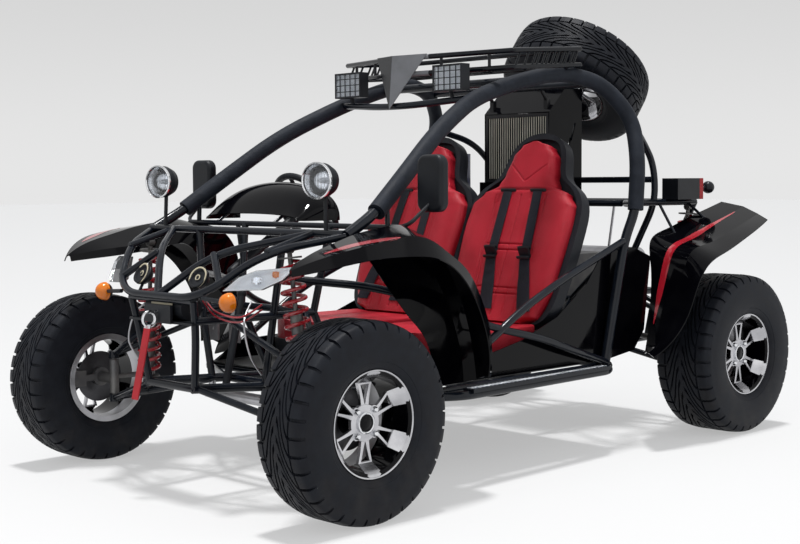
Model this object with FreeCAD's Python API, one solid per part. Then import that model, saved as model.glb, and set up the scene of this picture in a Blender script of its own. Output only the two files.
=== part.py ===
import FreeCAD, Part
import math
import os

# Two-seat dune buggy, in millimetres, +Z up, +X forward, +Y to its left.
# The origin is on the ground, midway between the ends of the whole vehicle.

# Wheels and tyres
WHEELBASE = 2170.0
FRONT_TYRE_RADIUS = 317.5
FRONT_TYRE_WIDTH = 216.0
FRONT_WHEEL_Y = 738.0
REAR_TYRE_RADIUS = 330.0
REAR_TYRE_WIDTH = 262.0
REAR_WHEEL_Y = 682.5
RIM_SEAT_RADIUS = 152.4
RIM_LIP_RADIUS = 167.5
RIM_WALL = 6.0
RIM_LIP = 7.0
RIM_LIP_FACE = 6.5
RIM_SHARE = 0.80
SPOKE_INSET = 36.0
SPOKE_THICKNESS = 14.0
SPOKE_PAIRS = 6
SPOKE_END_RADIUS = 108.0
SPOKE_END_HALF = 24.0
SPOKE_LIP_HALF = 32.0
HUB_RADIUS = 46.0
HUB_FACE_RADIUS = 70.0
HUB_BACK = -30.0
SPINDLE_RADIUS = 20.0
DISC_RADIUS = 96.0
DISC_THICKNESS = 5.0
LUG_CIRCLE_RADIUS = 55.0
LUG_COUNT = 4

# Clearances
RUNNING_FIT = 0.05
SEAT_GAP = 0.2
MOVING_GAP = 6.0

# Tubes
HOOP_TUBE = 38.0
NOSE_TUBE = 26.0
FLOOR_TUBE = 32.0
BRACE_TUBE = 30.0
RACK_TUBE = 20.0
SLAT_TUBE = 12.0
DOOR_TUBE = 28.0
REAR_TUBE = 28.0
STAY_TUBE = 12.0
ARM_TUBE = 24.0
PAD_DIAMETER = 62.0

# Coil springs
SPRING_WIRE = 11.0
SPRING_RADIUS = 32.0
SPRING_TURNS = 7.0
SPRING_TOP_SEAT = 32.0
SPRING_LOW_SEAT = 40.0

# Floor
FLOOR_Z = 330.0
FLOOR_RAIL_Y = 585.0
FLOOR_FRONT_X = -430.0
FLOOR_REAR_X = -1500.0
FLOOR_MID_X = -960.0
CENTRE_RAIL_Y = 190.0
PAN_THICKNESS = 3.0
PANEL_THICKNESS = 4.0
PANEL_Y = 572.0

# Steering
KINGPIN_Y = 605.0
KINGPIN_LOW_Z = 245.0
KINGPIN_HIGH_Z = 410.0
KINGPIN_RADIUS = 8.0
BOSS_RADIUS = 20.0
BOSS_HEIGHT = 26.0
STEERING_ARM_LENGTH = 120.0
STEERING_ARM_RISE = 26.0
RACK_Z = 300.0
RACK_HALF_LENGTH = 180.0
RACK_RADIUS = 20.0
TIE_ROD_RADIUS = 9.0
STEERING_WHEEL_RADIUS = 152.0
STEERING_WHEEL_GRIP = 26.0
STEERING_TILT = 32.0

# Stations along the vehicle, from the front axle, forward positive
FRONT_AXLE_X = (WHEELBASE + REAR_TYRE_RADIUS - FRONT_TYRE_RADIUS) / 2.0
REAR_AXLE = -WHEELBASE
DASH_X = -350.0
DASH_Z = 902.0
TOWER_X = -140.0
TOWER_Z = 886.0

# Cage: the left hoop, from the foot of the windscreen post over the roof to the floor
HOOP_POINTS = [
    (-145.0, 548.0, 880.0),
    (-290.0, 538.0, 955.0),
    (-440.0, 505.0, 1062.0),
    (-690.0, 440.0, 1237.0),
    (-960.0, 365.0, 1366.0),
    (-1200.0, 385.0, 1438.0),
    (-1400.0, 420.0, 1478.0),
    (-1590.0, 475.0, 1442.0),
    (-1706.0, 540.0, 1304.0),
    (-1664.0, 600.0, 1135.0),
    (-1632.0, 612.0, 938.0),
    (-1567.0, 607.0, 821.0),
    (-1470.0, FLOOR_RAIL_Y, FLOOR_Z),
]
PAD_FIRST = 1
PAD_LAST = 10

# Seats
SEAT_Y = 285.0
SEAT_FOOT_X = -1180.0
SEAT_FOOT_Z = 494.0
SEAT_BACK_TILT = 22.3
SEAT_PAD_THICKNESS = 62.0
SEAT_SHELL_THICKNESS = 28.0
SEAT_SHELL_MARGIN = 26.0
SEAT_BASE_FRONT_X = -635.0

# Half outline of a seat back: distance up the back, half width
SEAT_BACK_OUTLINE = [
    (0.0, 150.0),
    (30.0, 215.0),
    (160.0, 255.0),
    (400.0, 268.0),
    (505.0, 255.0),
    (570.0, 205.0),
    (610.0, 150.0),
    (680.0, 125.0),
    (750.0, 95.0),
]
SEAT_BACK_TOP = 776.0

# Radiator
RADIATOR_FRONT_X = -1624.0
RADIATOR_DEPTH = 40.0
RADIATOR_WIDTH = 352.0
RADIATOR_LOW_Z = 1050.0
RADIATOR_TOP_Z = 1338.0

# Spare wheel
SPARE_X = -2025.0
SPARE_Z = 1499.0
SPARE_TILT = 128.9
SPARE_FACE = RIM_SHARE * FRONT_TYRE_WIDTH / 2.0 - SPOKE_INSET


def at(x, y, z):
    """Return a point from its distance behind or ahead of the front axle."""
    return FreeCAD.Vector(FRONT_AXLE_X + x, y, z)


def points_at(triples):
    return [at(*triple) for triple in triples]


def mirrored(shape):
    return shape.mirror(FreeCAD.Vector(0, 0, 0), FreeCAD.Vector(0, 1, 0))


def joined(shapes):
    """Fuse solids that meet into one shape."""
    shape = shapes[0].multiFuse(shapes[1:])
    return shape.removeSplitter()


def group(shapes):
    """Keep solids apart in one shape."""
    solids = []
    for shape in shapes:
        solids.extend(shape.Solids)
    return Part.makeCompound(solids)


def both_sides(shape):
    return group([shape, mirrored(shape)])


def trimmed(shape, *carriers):
    """Cut a piece back to the faces of what carries it."""
    smallest = 0.02
    for carrier in carriers:
        shape = shape.cut(carrier)
    whole = max(solid.Volume for solid in shape.Solids)
    kept = [solid for solid in shape.Solids if solid.Volume > smallest * whole]
    return Part.makeCompound(kept)


def rod(start, end, diameter):
    """A straight round bar between two points."""
    direction = end - start
    return Part.makeCylinder(diameter / 2.0, direction.Length, start, direction)


def reaching(start, end, diameter, target):
    """A bar from its carrier to the near face of the piece that it holds."""
    for solid in rod(start, end, diameter).cut(target).Solids:
        if solid.isInside(start, 0.01, True):
            return solid
    raise ValueError("a bar starts inside the piece that it holds")


def box(low, high):
    size = high - low
    return Part.makeBox(size.x, size.y, size.z, low)


def bend_path(points):
    """Straight runs joined by tangent arcs as large as the runs allow."""
    share = 0.45
    edges = []
    start = points[0]
    for before, corner, after in zip(points, points[1:], points[2:]):
        back = before - corner
        ahead = after - corner
        reach = share * min(back.Length, ahead.Length)
        back.normalize()
        ahead.normalize()
        arc_start = corner + back * reach
        arc_end = corner + ahead * reach
        turn = math.pi - back.getAngle(ahead)
        radius = reach / math.tan(turn / 2.0)
        middle = back + ahead
        middle.normalize()
        centre_distance = math.hypot(radius, reach)
        arc_middle = corner + middle * (centre_distance - radius)
        edges.append(Part.LineSegment(start, arc_start).toShape())
        edges.append(Part.Arc(arc_start, arc_middle, arc_end).toShape())
        start = arc_end
    edges.append(Part.LineSegment(start, points[-1]).toShape())
    return Part.Wire(edges)


def tube(points, diameter):
    """A round bar that follows a bent path."""
    if len(points) == 2:
        return rod(points[0], points[1], diameter)
    direction = points[1] - points[0]
    circle = Part.Circle(points[0], direction, diameter / 2.0)
    section = Part.Wire([circle.toShape()])
    return bend_path(points).makePipeShell([section], True, True)


def tube_at(triples, diameter):
    return tube(points_at(triples), diameter)


def revolved(profile, centre, axis):
    """Turn a closed outline of (distance along, radius) pairs about an axis."""
    corners = [FreeCAD.Vector(radius, 0, along) for along, radius in profile]
    face = Part.Face(Part.makePolygon(corners + corners[:1]))
    solid = face.revolve(FreeCAD.Vector(0, 0, 0), FreeCAD.Vector(0, 0, 1), 360)
    turn = FreeCAD.Rotation(FreeCAD.Vector(0, 0, 1), axis)
    solid.Placement = FreeCAD.Placement(centre, turn)
    return solid


def skin(grid, thickness):
    """A curved sheet through a grid of points, thickened to its back."""
    outer = Part.BSplineSurface()
    outer.interpolate(grid)
    rows = len(grid)
    columns = len(grid[0])
    inner_grid = []
    for i in range(rows):
        row = []
        for j in range(columns):
            u, v = outer.parameter(grid[i][j])
            row.append(grid[i][j] - outer.normal(u, v) * thickness)
        inner_grid.append(row)
    inner = Part.BSplineSurface()
    inner.interpolate(inner_grid)
    faces = [outer.toShape(), inner.toShape()]
    near = [outer.uIso(0.0), outer.uIso(1.0), outer.vIso(0.0), outer.vIso(1.0)]
    far = [inner.uIso(0.0), inner.uIso(1.0), inner.vIso(0.0), inner.vIso(1.0)]
    for one, two in zip(near, far):
        faces.append(Part.makeRuledSurface(one.toShape(), two.toShape()))
    sewn = Part.makeCompound(faces)
    sewn.sewShape(0.01)
    solid = Part.makeSolid(sewn.Shells[0])
    if solid.Volume < 0:
        solid.reverse()
    return solid


def outline_solid(corners, thickness, direction):
    """A flat plate from its corners and the way it is thick."""
    face = Part.Face(Part.makePolygon(corners + corners[:1]))
    return face.extrude(direction * thickness)


def smooth_outline_solid(corners, thickness, direction):
    """A plate whose edge is one smooth closed curve."""
    curve = Part.BSplineCurve()
    curve.interpolate(corners, PeriodicFlag=True)
    face = Part.Face(Part.Wire([curve.toShape()]))
    return face.extrude(direction * thickness)


def curve_through(points):
    curve = Part.BSplineCurve()
    curve.interpolate(points)
    return curve.toShape()


def creased_sheet(lines, thickness):
    """A sheet of flat-ruled strips that meet at sharp creases.

    Each line lists the points of one crease or edge at the same stations.
    """
    stations = len(lines[0])
    inner_lines = []
    for index, line in enumerate(lines):
        before = lines[max(index - 1, 0)]
        after = lines[min(index + 1, len(lines) - 1)]
        inner = []
        for station, point in enumerate(line):
            ahead = line[min(station + 1, stations - 1)] - line[max(station - 1, 0)]
            normal = ahead.cross(after[station] - before[station])
            normal.normalize()
            inner.append(point - normal * thickness)
        inner_lines.append(inner)
    outer_curves = [curve_through(line) for line in lines]
    inner_curves = [curve_through(line) for line in inner_lines]
    faces = []
    for curves in (outer_curves, inner_curves):
        for one, two in zip(curves, curves[1:]):
            faces.append(Part.makeRuledSurface(one, two))
    for edge in (0, -1):
        faces.append(Part.makeRuledSurface(outer_curves[edge], inner_curves[edge]))
    for station in (0, -1):
        for index in range(len(lines) - 1):
            one = Part.makeLine(lines[index][station], lines[index + 1][station])
            two = Part.makeLine(inner_lines[index][station], inner_lines[index + 1][station])
            faces.append(Part.makeRuledSurface(one, two))
    sewn = Part.makeCompound(faces)
    sewn.sewShape(0.01)
    solid = Part.makeSolid(sewn.Shells[0])
    if solid.Volume < 0:
        solid.reverse()
    return solid


# Wheels

def tyre(centre, axis, radius, width):
    half = width / 2.0
    shoulder = 0.84 * half
    crown_drop = 6.0
    wall_radius = RIM_SEAT_RADIUS + 0.55 * (radius - RIM_SEAT_RADIUS)
    bead = RIM_SEAT_RADIUS + SEAT_GAP
    profile = [
        (-0.80 * half, bead),
        (-0.80 * half, RIM_LIP_RADIUS + SEAT_GAP),
        (-0.93 * half, RIM_LIP_RADIUS + 14.0),
        (-half, wall_radius),
        (-0.96 * half, radius - 30.0),
        (-shoulder, radius - crown_drop),
        (-0.5 * shoulder, radius),
        (0.5 * shoulder, radius),
        (shoulder, radius - crown_drop),
        (0.96 * half, radius - 30.0),
        (half, wall_radius),
        (0.93 * half, RIM_LIP_RADIUS + 14.0),
        (0.80 * half, RIM_LIP_RADIUS + SEAT_GAP),
        (0.80 * half, bead),
    ]
    return revolved(profile, centre, axis)


def spoke_face(width):
    """How far the spokes' flat face lies out from the wheel's middle plane."""
    return RIM_SHARE * width / 2.0 - SPOKE_INSET


def spoke_pair(top, lip_top, rim_radius, turn):
    """Two arms with a slit between them, and the pad that climbs to the lip."""
    root = 34.0
    root_half = 13.0
    slit_start = 70.0
    slit_margin = 8.0
    pad_start = SPOKE_END_RADIUS - 2.0
    wall_radius = RIM_SEAT_RADIUS - 0.65 * RIM_WALL
    low = top - SPOKE_THICKNESS
    flat = []
    for radius, half in (
        (root, -root_half),
        (SPOKE_END_RADIUS, -SPOKE_END_HALF),
        (SPOKE_END_RADIUS, SPOKE_END_HALF),
        (root, root_half),
    ):
        flat.append(FreeCAD.Vector(radius, half, low))
    arms = outline_solid(flat, SPOKE_THICKNESS, FreeCAD.Vector(0, 0, 1))
    slit_half = SPOKE_END_HALF - 9.0
    slit = []
    for radius, half in (
        (slit_start, -2.0),
        (SPOKE_END_RADIUS - slit_margin, -slit_half),
        (SPOKE_END_RADIUS - slit_margin, slit_half),
        (slit_start, 2.0),
    ):
        slit.append(FreeCAD.Vector(radius, half, low - SPOKE_THICKNESS))
    arms = arms.cut(outline_solid(slit, 3.0 * SPOKE_THICKNESS, FreeCAD.Vector(0, 0, 1)))
    sides = []
    for radius, half in (
        (pad_start, -SPOKE_END_HALF + 1.0),
        (rim_radius + 1.0, -SPOKE_LIP_HALF),
        (rim_radius + 1.0, SPOKE_LIP_HALF),
        (pad_start, SPOKE_END_HALF - 1.0),
    ):
        sides.append(FreeCAD.Vector(radius, half, low - SPOKE_THICKNESS))
    wedge = outline_solid(sides, lip_top - low + 2.0 * SPOKE_THICKNESS, FreeCAD.Vector(0, 0, 1))
    slope = []
    for radius, height in (
        (pad_start - 1.0, low + 1.0),
        (wall_radius, lip_top - SPOKE_THICKNESS - 2.0),
        (wall_radius, lip_top - RIM_LIP + 2.0),
        (rim_radius, lip_top - RIM_LIP + 2.0),
        (rim_radius, lip_top),
        (wall_radius, lip_top - 1.0),
        (pad_start - 1.0, top - 1.0),
    ):
        slope.append(FreeCAD.Vector(radius, -2.0 * SPOKE_LIP_HALF, height))
    pad = outline_solid(slope, 4.0 * SPOKE_LIP_HALF, FreeCAD.Vector(0, 1, 0)).common(wedge)
    pair = arms.fuse(pad)
    pair.rotate(FreeCAD.Vector(0, 0, 0), FreeCAD.Vector(0, 0, 1), turn)
    return pair


def rim(centre, axis, width):
    """An alloy rim: barrel with two lips, six double spokes, hub and disc."""
    half = RIM_SHARE * width / 2.0
    seat = RIM_SEAT_RADIUS
    inner = seat - RIM_WALL
    chamfer = 7.0
    barrel = revolved(
        [
            (-half - RIM_LIP, inner),
            (-half - RIM_LIP, RIM_LIP_RADIUS),
            (-half, RIM_LIP_RADIUS),
            (-half, seat),
            (half, seat),
            (half, RIM_LIP_RADIUS),
            (half + RIM_LIP, RIM_LIP_RADIUS),
            (half + RIM_LIP, RIM_LIP_RADIUS - RIM_LIP_FACE),
            (half - chamfer, inner),
        ],
        FreeCAD.Vector(0, 0, 0),
        FreeCAD.Vector(0, 0, 1),
    )
    top = spoke_face(width)
    pad_top = half + RIM_LIP - 1.0
    pad_radius = RIM_LIP_RADIUS - RIM_LIP_FACE + 2.0
    pitch = 360.0 / SPOKE_PAIRS
    pieces = [barrel]
    for index in range(SPOKE_PAIRS):
        pieces.append(spoke_pair(top, pad_top, pad_radius, (index + 0.5) * pitch))
    hub = revolved(
        [
            (HUB_BACK, 0.0),
            (HUB_BACK, DISC_RADIUS),
            (HUB_BACK + DISC_THICKNESS, DISC_RADIUS),
            (HUB_BACK + DISC_THICKNESS, HUB_RADIUS),
            (top - SPOKE_THICKNESS, HUB_RADIUS),
            (top - SPOKE_THICKNESS, HUB_FACE_RADIUS),
            (top, HUB_FACE_RADIUS),
            (top, 0.0),
        ],
        FreeCAD.Vector(0, 0, 0),
        FreeCAD.Vector(0, 0, 1),
    )
    pieces.append(hub)
    lug_pitch = 360.0 / LUG_COUNT
    for index in range(LUG_COUNT):
        angle = math.radians((index + 0.5) * lug_pitch)
        spot = FreeCAD.Vector(LUG_CIRCLE_RADIUS * math.cos(angle), LUG_CIRCLE_RADIUS * math.sin(angle), top - 2.0)
        pieces.append(Part.makeCone(10.0, 7.0, 17.0, spot))
    bore_depth = top - HUB_BACK - 20.0
    bore = Part.makeCylinder(SPINDLE_RADIUS + RUNNING_FIT, bore_depth, FreeCAD.Vector(0, 0, HUB_BACK))
    solid = joined(pieces).cut(bore)
    turn = FreeCAD.Rotation(FreeCAD.Vector(0, 0, 1), axis)
    solid.Placement = FreeCAD.Placement(centre, turn)
    return solid


def spindle_reach(width):
    """How far a spindle goes past the wheel's middle plane."""
    return spoke_face(width) - 22.0


# Frame

def floor_rails():
    """The side rails and the bent centre rails, from nose to tail."""
    side = rod(at(FLOOR_FRONT_X, FLOOR_RAIL_Y, FLOOR_Z), at(FLOOR_REAR_X, FLOOR_RAIL_Y, FLOOR_Z), FLOOR_TUBE)
    centre = tube_at(
        [
            (170.0, 130.0, 372.0),
            (-120.0, 150.0, 352.0),
            (FLOOR_FRONT_X, CENTRE_RAIL_Y, FLOOR_Z),
            (-1560.0, CENTRE_RAIL_Y, FLOOR_Z),
            (-2330.0, CENTRE_RAIL_Y, 345.0),
        ],
        FLOOR_TUBE,
    )
    return both_sides(group([side, centre]))


def floor_frame(rails):
    """Cross tubes between the rails, and the diagonals at the front."""
    diagonal = tube_at([(-190.0, 159.0, 347.0), (FLOOR_FRONT_X, FLOOR_RAIL_Y, FLOOR_Z)], REAR_TUBE)
    ends = FLOOR_RAIL_Y
    cross = [rod(at(x, -ends, FLOOR_Z), at(x, ends, FLOOR_Z), NOSE_TUBE) for x in (FLOOR_MID_X, FLOOR_REAR_X)]
    front = rod(at(FLOOR_FRONT_X, -ends, FLOOR_Z), at(FLOOR_FRONT_X, ends, FLOOR_Z), NOSE_TUBE)
    pieces = [both_sides(diagonal.cut(front)), front] + cross
    for x, y, z in ((160.0, 131.0, 371.3), (-190.0, 159.0, 347.0), (-2320.0, CENTRE_RAIL_Y, 345.0)):
        pieces.append(rod(at(x, -y, z), at(x, y, z), REAR_TUBE))
    kept = []
    for piece in pieces:
        kept.append(inside_rails(piece.cut(rails)))
    return group(kept)


def inside_rails(shape):
    """Keep the stretches between rails and drop what sticks out past them."""
    shortest = 100.0
    kept = []
    for solid in shape.Solids:
        if solid.BoundBox.DiagonalLength > shortest:
            kept.append(solid)
    return Part.makeCompound(kept)


def floor_pan(*carriers):
    """The sheet floor that lies on the rails."""
    top = FLOOR_Z + FLOOR_TUBE / 2.0 + SEAT_GAP
    low = at(FLOOR_REAR_X - FLOOR_TUBE / 2.0, -FLOOR_RAIL_Y + FLOOR_TUBE / 2.0, top)
    high = at(FLOOR_FRONT_X + FLOOR_TUBE / 2.0, FLOOR_RAIL_Y - FLOOR_TUBE / 2.0, top + PAN_THICKNESS)
    return trimmed(box(low, high), *carriers)


def front_frame(floor):
    """The box of tubes that carries the front arms, the rack and the winch."""
    pieces = []
    side = [
        tube_at([(160.0, 131.0, 371.0), (178.0, 165.0, 560.0), (196.0, 180.0, 668.0)], NOSE_TUBE),
        tube_at([(-120.0, 150.0, 352.0), (-120.0, 200.0, 585.0), (TOWER_X, 240.0, TOWER_Z)], NOSE_TUBE),
        tube_at([(185.0, 172.0, 600.0), (-120.0, 204.0, 600.0), (-300.0, 204.0, 600.0)], NOSE_TUBE),
        tube_at([(-300.0, 204.0, 600.0), (FLOOR_FRONT_X, 204.0, FLOOR_Z)], NOSE_TUBE),
        tube_at([(-300.0, 204.0, 600.0), (DASH_X, 240.0, DASH_Z)], NOSE_TUBE),
    ]
    for piece in side:
        pieces.append(piece)
        pieces.append(mirrored(piece))
    for x, y, z in ((196.0, 180.0, 668.0), (-120.0, 204.0, 600.0), (-300.0, 204.0, 600.0)):
        pieces.append(rod(at(x, -y, z), at(x, y, z), NOSE_TUBE))
    return trimmed(joined(pieces), floor)


def nose_frame(front, fenders):
    """The bumper loop, its middle V, the top rails and the fenders' front stays."""
    loop = [
        (-145.0, 548.0, 880.0),
        (68.0, 385.0, 828.0),
        (212.0, 233.0, 680.0),
        (212.0, -233.0, 680.0),
        (68.0, -385.0, 828.0),
        (-145.0, -548.0, 880.0),
    ]
    pieces = [tube_at(loop, NOSE_TUBE)]
    side = [
        tube_at([(212.0, 0.0, 680.0), (92.0, 155.0, 820.0), (TOWER_X, 400.0, TOWER_Z)], NOSE_TUBE),
        tube_at([(166.0, 282.0, 727.0), (96.0, 160.0, 818.0)], NOSE_TUBE - 2.0),
        tube_at([(TOWER_X, 396.0, TOWER_Z), (60.0, 392.0, 830.0)], NOSE_TUBE - 2.0),
        reaching(at(-102.0, 515.0, 869.5), at(-102.0, 530.0, 800.0), STAY_TUBE, fenders),
    ]
    for piece in side:
        pieces.append(piece)
        pieces.append(mirrored(piece))
    pieces.append(rod(at(TOWER_X, -548.0, TOWER_Z), at(TOWER_X, 548.0, TOWER_Z), NOSE_TUBE))
    return trimmed(joined(pieces), front)


def hoops(floor, nose):
    left = tube_at(HOOP_POINTS, HOOP_TUBE)
    pair = both_sides(left)
    return trimmed(pair, floor, nose)


def braces(hoop_pair, front, nose, fenders, hood):
    """Cross tubes between the hoops, the dash rail and the lamp bar."""
    knee = HOOP_POINTS[4]
    roof = HOOP_POINTS[5]
    rear_top = HOOP_POINTS[7]
    lamp_bar = [(knee[0], -knee[1], knee[2]), (-886.0, 0.0, 1340.0), knee]
    pieces = [
        tube_at(lamp_bar, NOSE_TUBE),
        rod(at(roof[0], -roof[1], roof[2]), at(*roof), HOOP_TUBE - 4.0),
        rod(at(rear_top[0], -rear_top[1], rear_top[2]), at(*rear_top), BRACE_TUBE),
        rod(at(DASH_X, -590.0, DASH_Z), at(DASH_X, 590.0, DASH_Z), RACK_TUBE),
    ]
    stub = tube_at([(DASH_X, 530.0, DASH_Z), (DASH_X, 525.0, 997.0)], RACK_TUBE - 2.0)
    pieces.append(stub)
    pieces.append(mirrored(stub))
    for y in (-420.0, -80.0):
        pieces.append(reaching(at(DASH_X, y, DASH_Z), at(DASH_X - 100.0, y, DASH_Z + 60.0), STAY_TUBE, hood))
    stay = reaching(at(-240.0, 541.0, 929.0), at(-240.0, 560.0, 830.0), STAY_TUBE, fenders)
    return trimmed(group([joined(pieces), both_sides(stay)]), hoop_pair, front, nose)


def carrier_point(offset, y):
    """A point ahead of the spare wheel's face, on its axis line or beside it."""
    return at(SPARE_X, y, SPARE_Z) - spare_axis() * offset


def rear_frame(hoop_pair, floor, fenders):
    """Tubes round the engine, the tall rear stays and the spare wheel's carrier."""
    junction = HOOP_POINTS[11]
    pieces = []
    top_z = 960.0
    mast_y = 42.0
    mast_offset = 126.0
    mast_x = carrier_point(mast_offset, 0.0).x - FRONT_AXLE_X
    side = [
        tube_at(
            [
                (-1700.0, 535.0, 1285.0),
                (-1860.0, 470.0, 1235.0),
                (-1985.0, 450.0, 1120.0),
                (-1995.0, 450.0, top_z),
                (-1995.0, 240.0, 560.0),
            ],
            REAR_TUBE,
        ),
        tube_at([(-1640.0, 600.0, top_z), (-1760.0, 450.0, top_z), (-2290.0, 450.0, top_z)], REAR_TUBE),
        tube_at([(-2290.0, 450.0, top_z), (-2300.0, 240.0, 560.0), (-2300.0, 195.0, 345.0)], REAR_TUBE),
        tube_at([(junction[0], junction[1], junction[2]), (-1700.0, 240.0, 560.0)], REAR_TUBE),
        tube_at([(-1700.0, 240.0, 560.0), (-2300.0, 240.0, 560.0)], REAR_TUBE),
        tube_at([(-1700.0, 240.0, 560.0), (-1560.0, 195.0, FLOOR_Z)], REAR_TUBE),
        tube_at([(-1995.0, 240.0, 560.0), (-1995.0, 190.0, 340.0)], REAR_TUBE),
        tube([carrier_point(mast_offset, mast_y), at(mast_x, mast_y, top_z)], REAR_TUBE),
        tube_at([(mast_x, mast_y, 1330.0), (-1760.0, mast_y, top_z)], REAR_TUBE),
        reaching(at(-2230.0, 450.0, top_z), at(-2230.0, 540.0, 890.0), STAY_TUBE, fenders),
        reaching(at(-2020.0, 450.0, top_z), at(-2020.0, 545.0, 810.0), STAY_TUBE, fenders),
    ]
    for piece in side:
        pieces.append(piece)
        pieces.append(mirrored(piece))
    for x, y, z in (
        (-1760.0, 450.0, top_z),
        (-2290.0, 450.0, top_z),
        (-1995.0, 450.0, 1057.0),
        (-1700.0, 240.0, 560.0),
        (-2300.0, 240.0, 560.0),
        (mast_x, 450.0, top_z),
    ):
        pieces.append(rod(at(x, -y, z), at(x, y, z), REAR_TUBE - 2.0))
    pieces.append(rod(carrier_point(mast_offset, -mast_y), carrier_point(mast_offset, mast_y), REAR_TUBE - 2.0))
    pieces.append(rod(carrier_point(SPARE_FACE + SEAT_GAP, 0.0), carrier_point(mast_offset, 0.0), 46.0))
    return trimmed(joined(pieces), hoop_pair, floor)


def nose_plate(top, wing, tip, thickness):
    """The folded V plate that hangs from the rack's apex to the lamp bar."""
    halves = []
    for side in (-1.0, 1.0):
        corners = [at(*top), at(wing[0], side * wing[1], wing[2]), at(*tip)]
        normal = (corners[1] - corners[0]).cross(corners[2] - corners[0])
        normal.normalize()
        if normal.x > 0:
            normal = normal * -1.0
        halves.append(outline_solid(corners, thickness, normal))
    return halves


def roof_rack(hoop_pair, brace):
    """A V-fronted basket: two rails, slotted sides, slats, struts and the nose plate."""
    drop = 62.0
    front = (-904.0, 0.0, 1529.0)
    corner = (-1077.0, 459.0, 1541.0)
    tail = (-1470.0, 459.0, 1570.0)
    top = [tail, corner, front] + [(corner[0], -corner[1], corner[2]), (tail[0], -tail[1], tail[2])]
    bottom = [(x, y, z - drop) for x, y, z in top]
    pieces = []
    for rail in (top, bottom):
        corners = points_at(rail)
        for start, end in zip(corners, corners[1:] + corners[:1]):
            pieces.append(rod(start, end, RACK_TUBE))
        for spot in corners:
            pieces.append(Part.makeSphere(RACK_TUBE / 2.0, spot))
    slant = 16.0
    loop_pitch = 56.0
    loop_gap = 24.0
    loops = 5
    bar_stations = [-1100.0, -1150.0]
    for index in range(loops):
        bar_stations.append(-1196.0 - index * loop_pitch)
        bar_stations.append(-1196.0 - index * loop_pitch - loop_gap)
    for x in bar_stations:
        share = (x - corner[0]) / (tail[0] - corner[0])
        z = corner[2] + share * (tail[2] - corner[2])
        for y in (-corner[1], corner[1]):
            pieces.append(rod(at(x - slant, y, z), at(x + slant, y, z - drop), SLAT_TUBE - 3.0))
    slats = 5
    for index in range(slats):
        y = corner[1] * (2.0 * (index + 0.5) / slats - 1.0)
        reach = abs(y) / corner[1]
        x = front[0] + reach * (corner[0] - front[0])
        z = front[2] + reach * (corner[2] - front[2])
        pieces.append(rod(at(x, y, z - drop), at(tail[0], y, tail[2] - drop), SLAT_TUBE))
        pieces.append(rod(at(x, y, z), at(x, y, z - drop), SLAT_TUBE))
    knee = HOOP_POINTS[4]
    crest = HOOP_POINTS[6]
    for side in (-1.0, 1.0):
        strut_top = at(-1040.0, side * 445.0, corner[2] - drop)
        pieces.append(rod(at(knee[0], side * knee[1], knee[2]), strut_top, SLAT_TUBE + 6.0))
        post_top = at(crest[0], side * corner[1], tail[2] - drop - 4.0)
        pieces.append(rod(at(crest[0], side * crest[1], crest[2]), post_top, SLAT_TUBE + 6.0))
    pieces.extend(nose_plate((-890.0, 0.0, 1540.0), (-941.0, 137.0, 1543.0), (-871.0, 0.0, 1334.0), PANEL_THICKNESS))
    return trimmed(joined(pieces), hoop_pair, brace)


def hoop_pads(hoop_pair, *others):
    """Foam sleeves on both hoops, from the dash to the seat backs."""
    path = HOOP_POINTS[PAD_FIRST:PAD_LAST + 1]
    sleeve = tube_at(path, PAD_DIAMETER)
    bore = tube_at(HOOP_POINTS, HOOP_TUBE + 2.0 * SEAT_GAP)
    pair = both_sides(sleeve.cut(bore))
    return trimmed(pair, *others)


def door_bars(hoop_pair, floor, front):
    upper = [
        (-1570.0, 607.0, 820.0),
        (-1394.0, 622.0, 766.0),
        (-1151.0, 628.0, 686.0),
        (-924.0, 626.0, 590.0),
        (-740.0, 620.0, 480.0),
        (-560.0, 600.0, 380.0),
        (-455.0, FLOOR_RAIL_Y, FLOOR_Z),
    ]
    lower = [
        (-1475.0, 592.0, 345.0),
        (-1272.0, 622.0, 402.0),
        (-1036.0, 628.0, 479.0),
        (-815.0, 624.0, 528.0),
        (-683.0, 598.0, 570.0),
        (-420.0, 460.0, 690.0),
        (-130.0, 222.0, 730.0),
    ]
    pair = joined([tube_at(upper, DOOR_TUBE), tube_at(lower, DOOR_TUBE)])
    return trimmed(both_sides(pair), hoop_pair, floor, front)


def side_steps(hoop_pair, floor, doors):
    """A round bar along each sill, with a strip to stand on."""
    path = [
        (-1492.0, FLOOR_RAIL_Y, 322.0),
        (-1425.0, 642.0, 322.0),
        (-560.0, 668.0, 322.0),
        (-432.0, FLOOR_RAIL_Y, 326.0),
    ]
    pieces = [tube_at(path, HOOP_TUBE - 6.0)]
    strip_top = 344.0
    strip = [at(-1400.0, 616.0, 330.0), at(-600.0, 640.0, 330.0), at(-600.0, 690.0, 330.0), at(-1400.0, 668.0, 330.0)]
    pieces.append(outline_solid(strip, strip_top - 330.0, FreeCAD.Vector(0, 0, 1)))
    for x in (-1180.0, -800.0):
        pieces.append(rod(at(x, FLOOR_RAIL_Y, 324.0), at(x, 655.0, 324.0), RACK_TUBE))
    return trimmed(both_sides(joined(pieces)), hoop_pair, floor, doors)


# Panels

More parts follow.
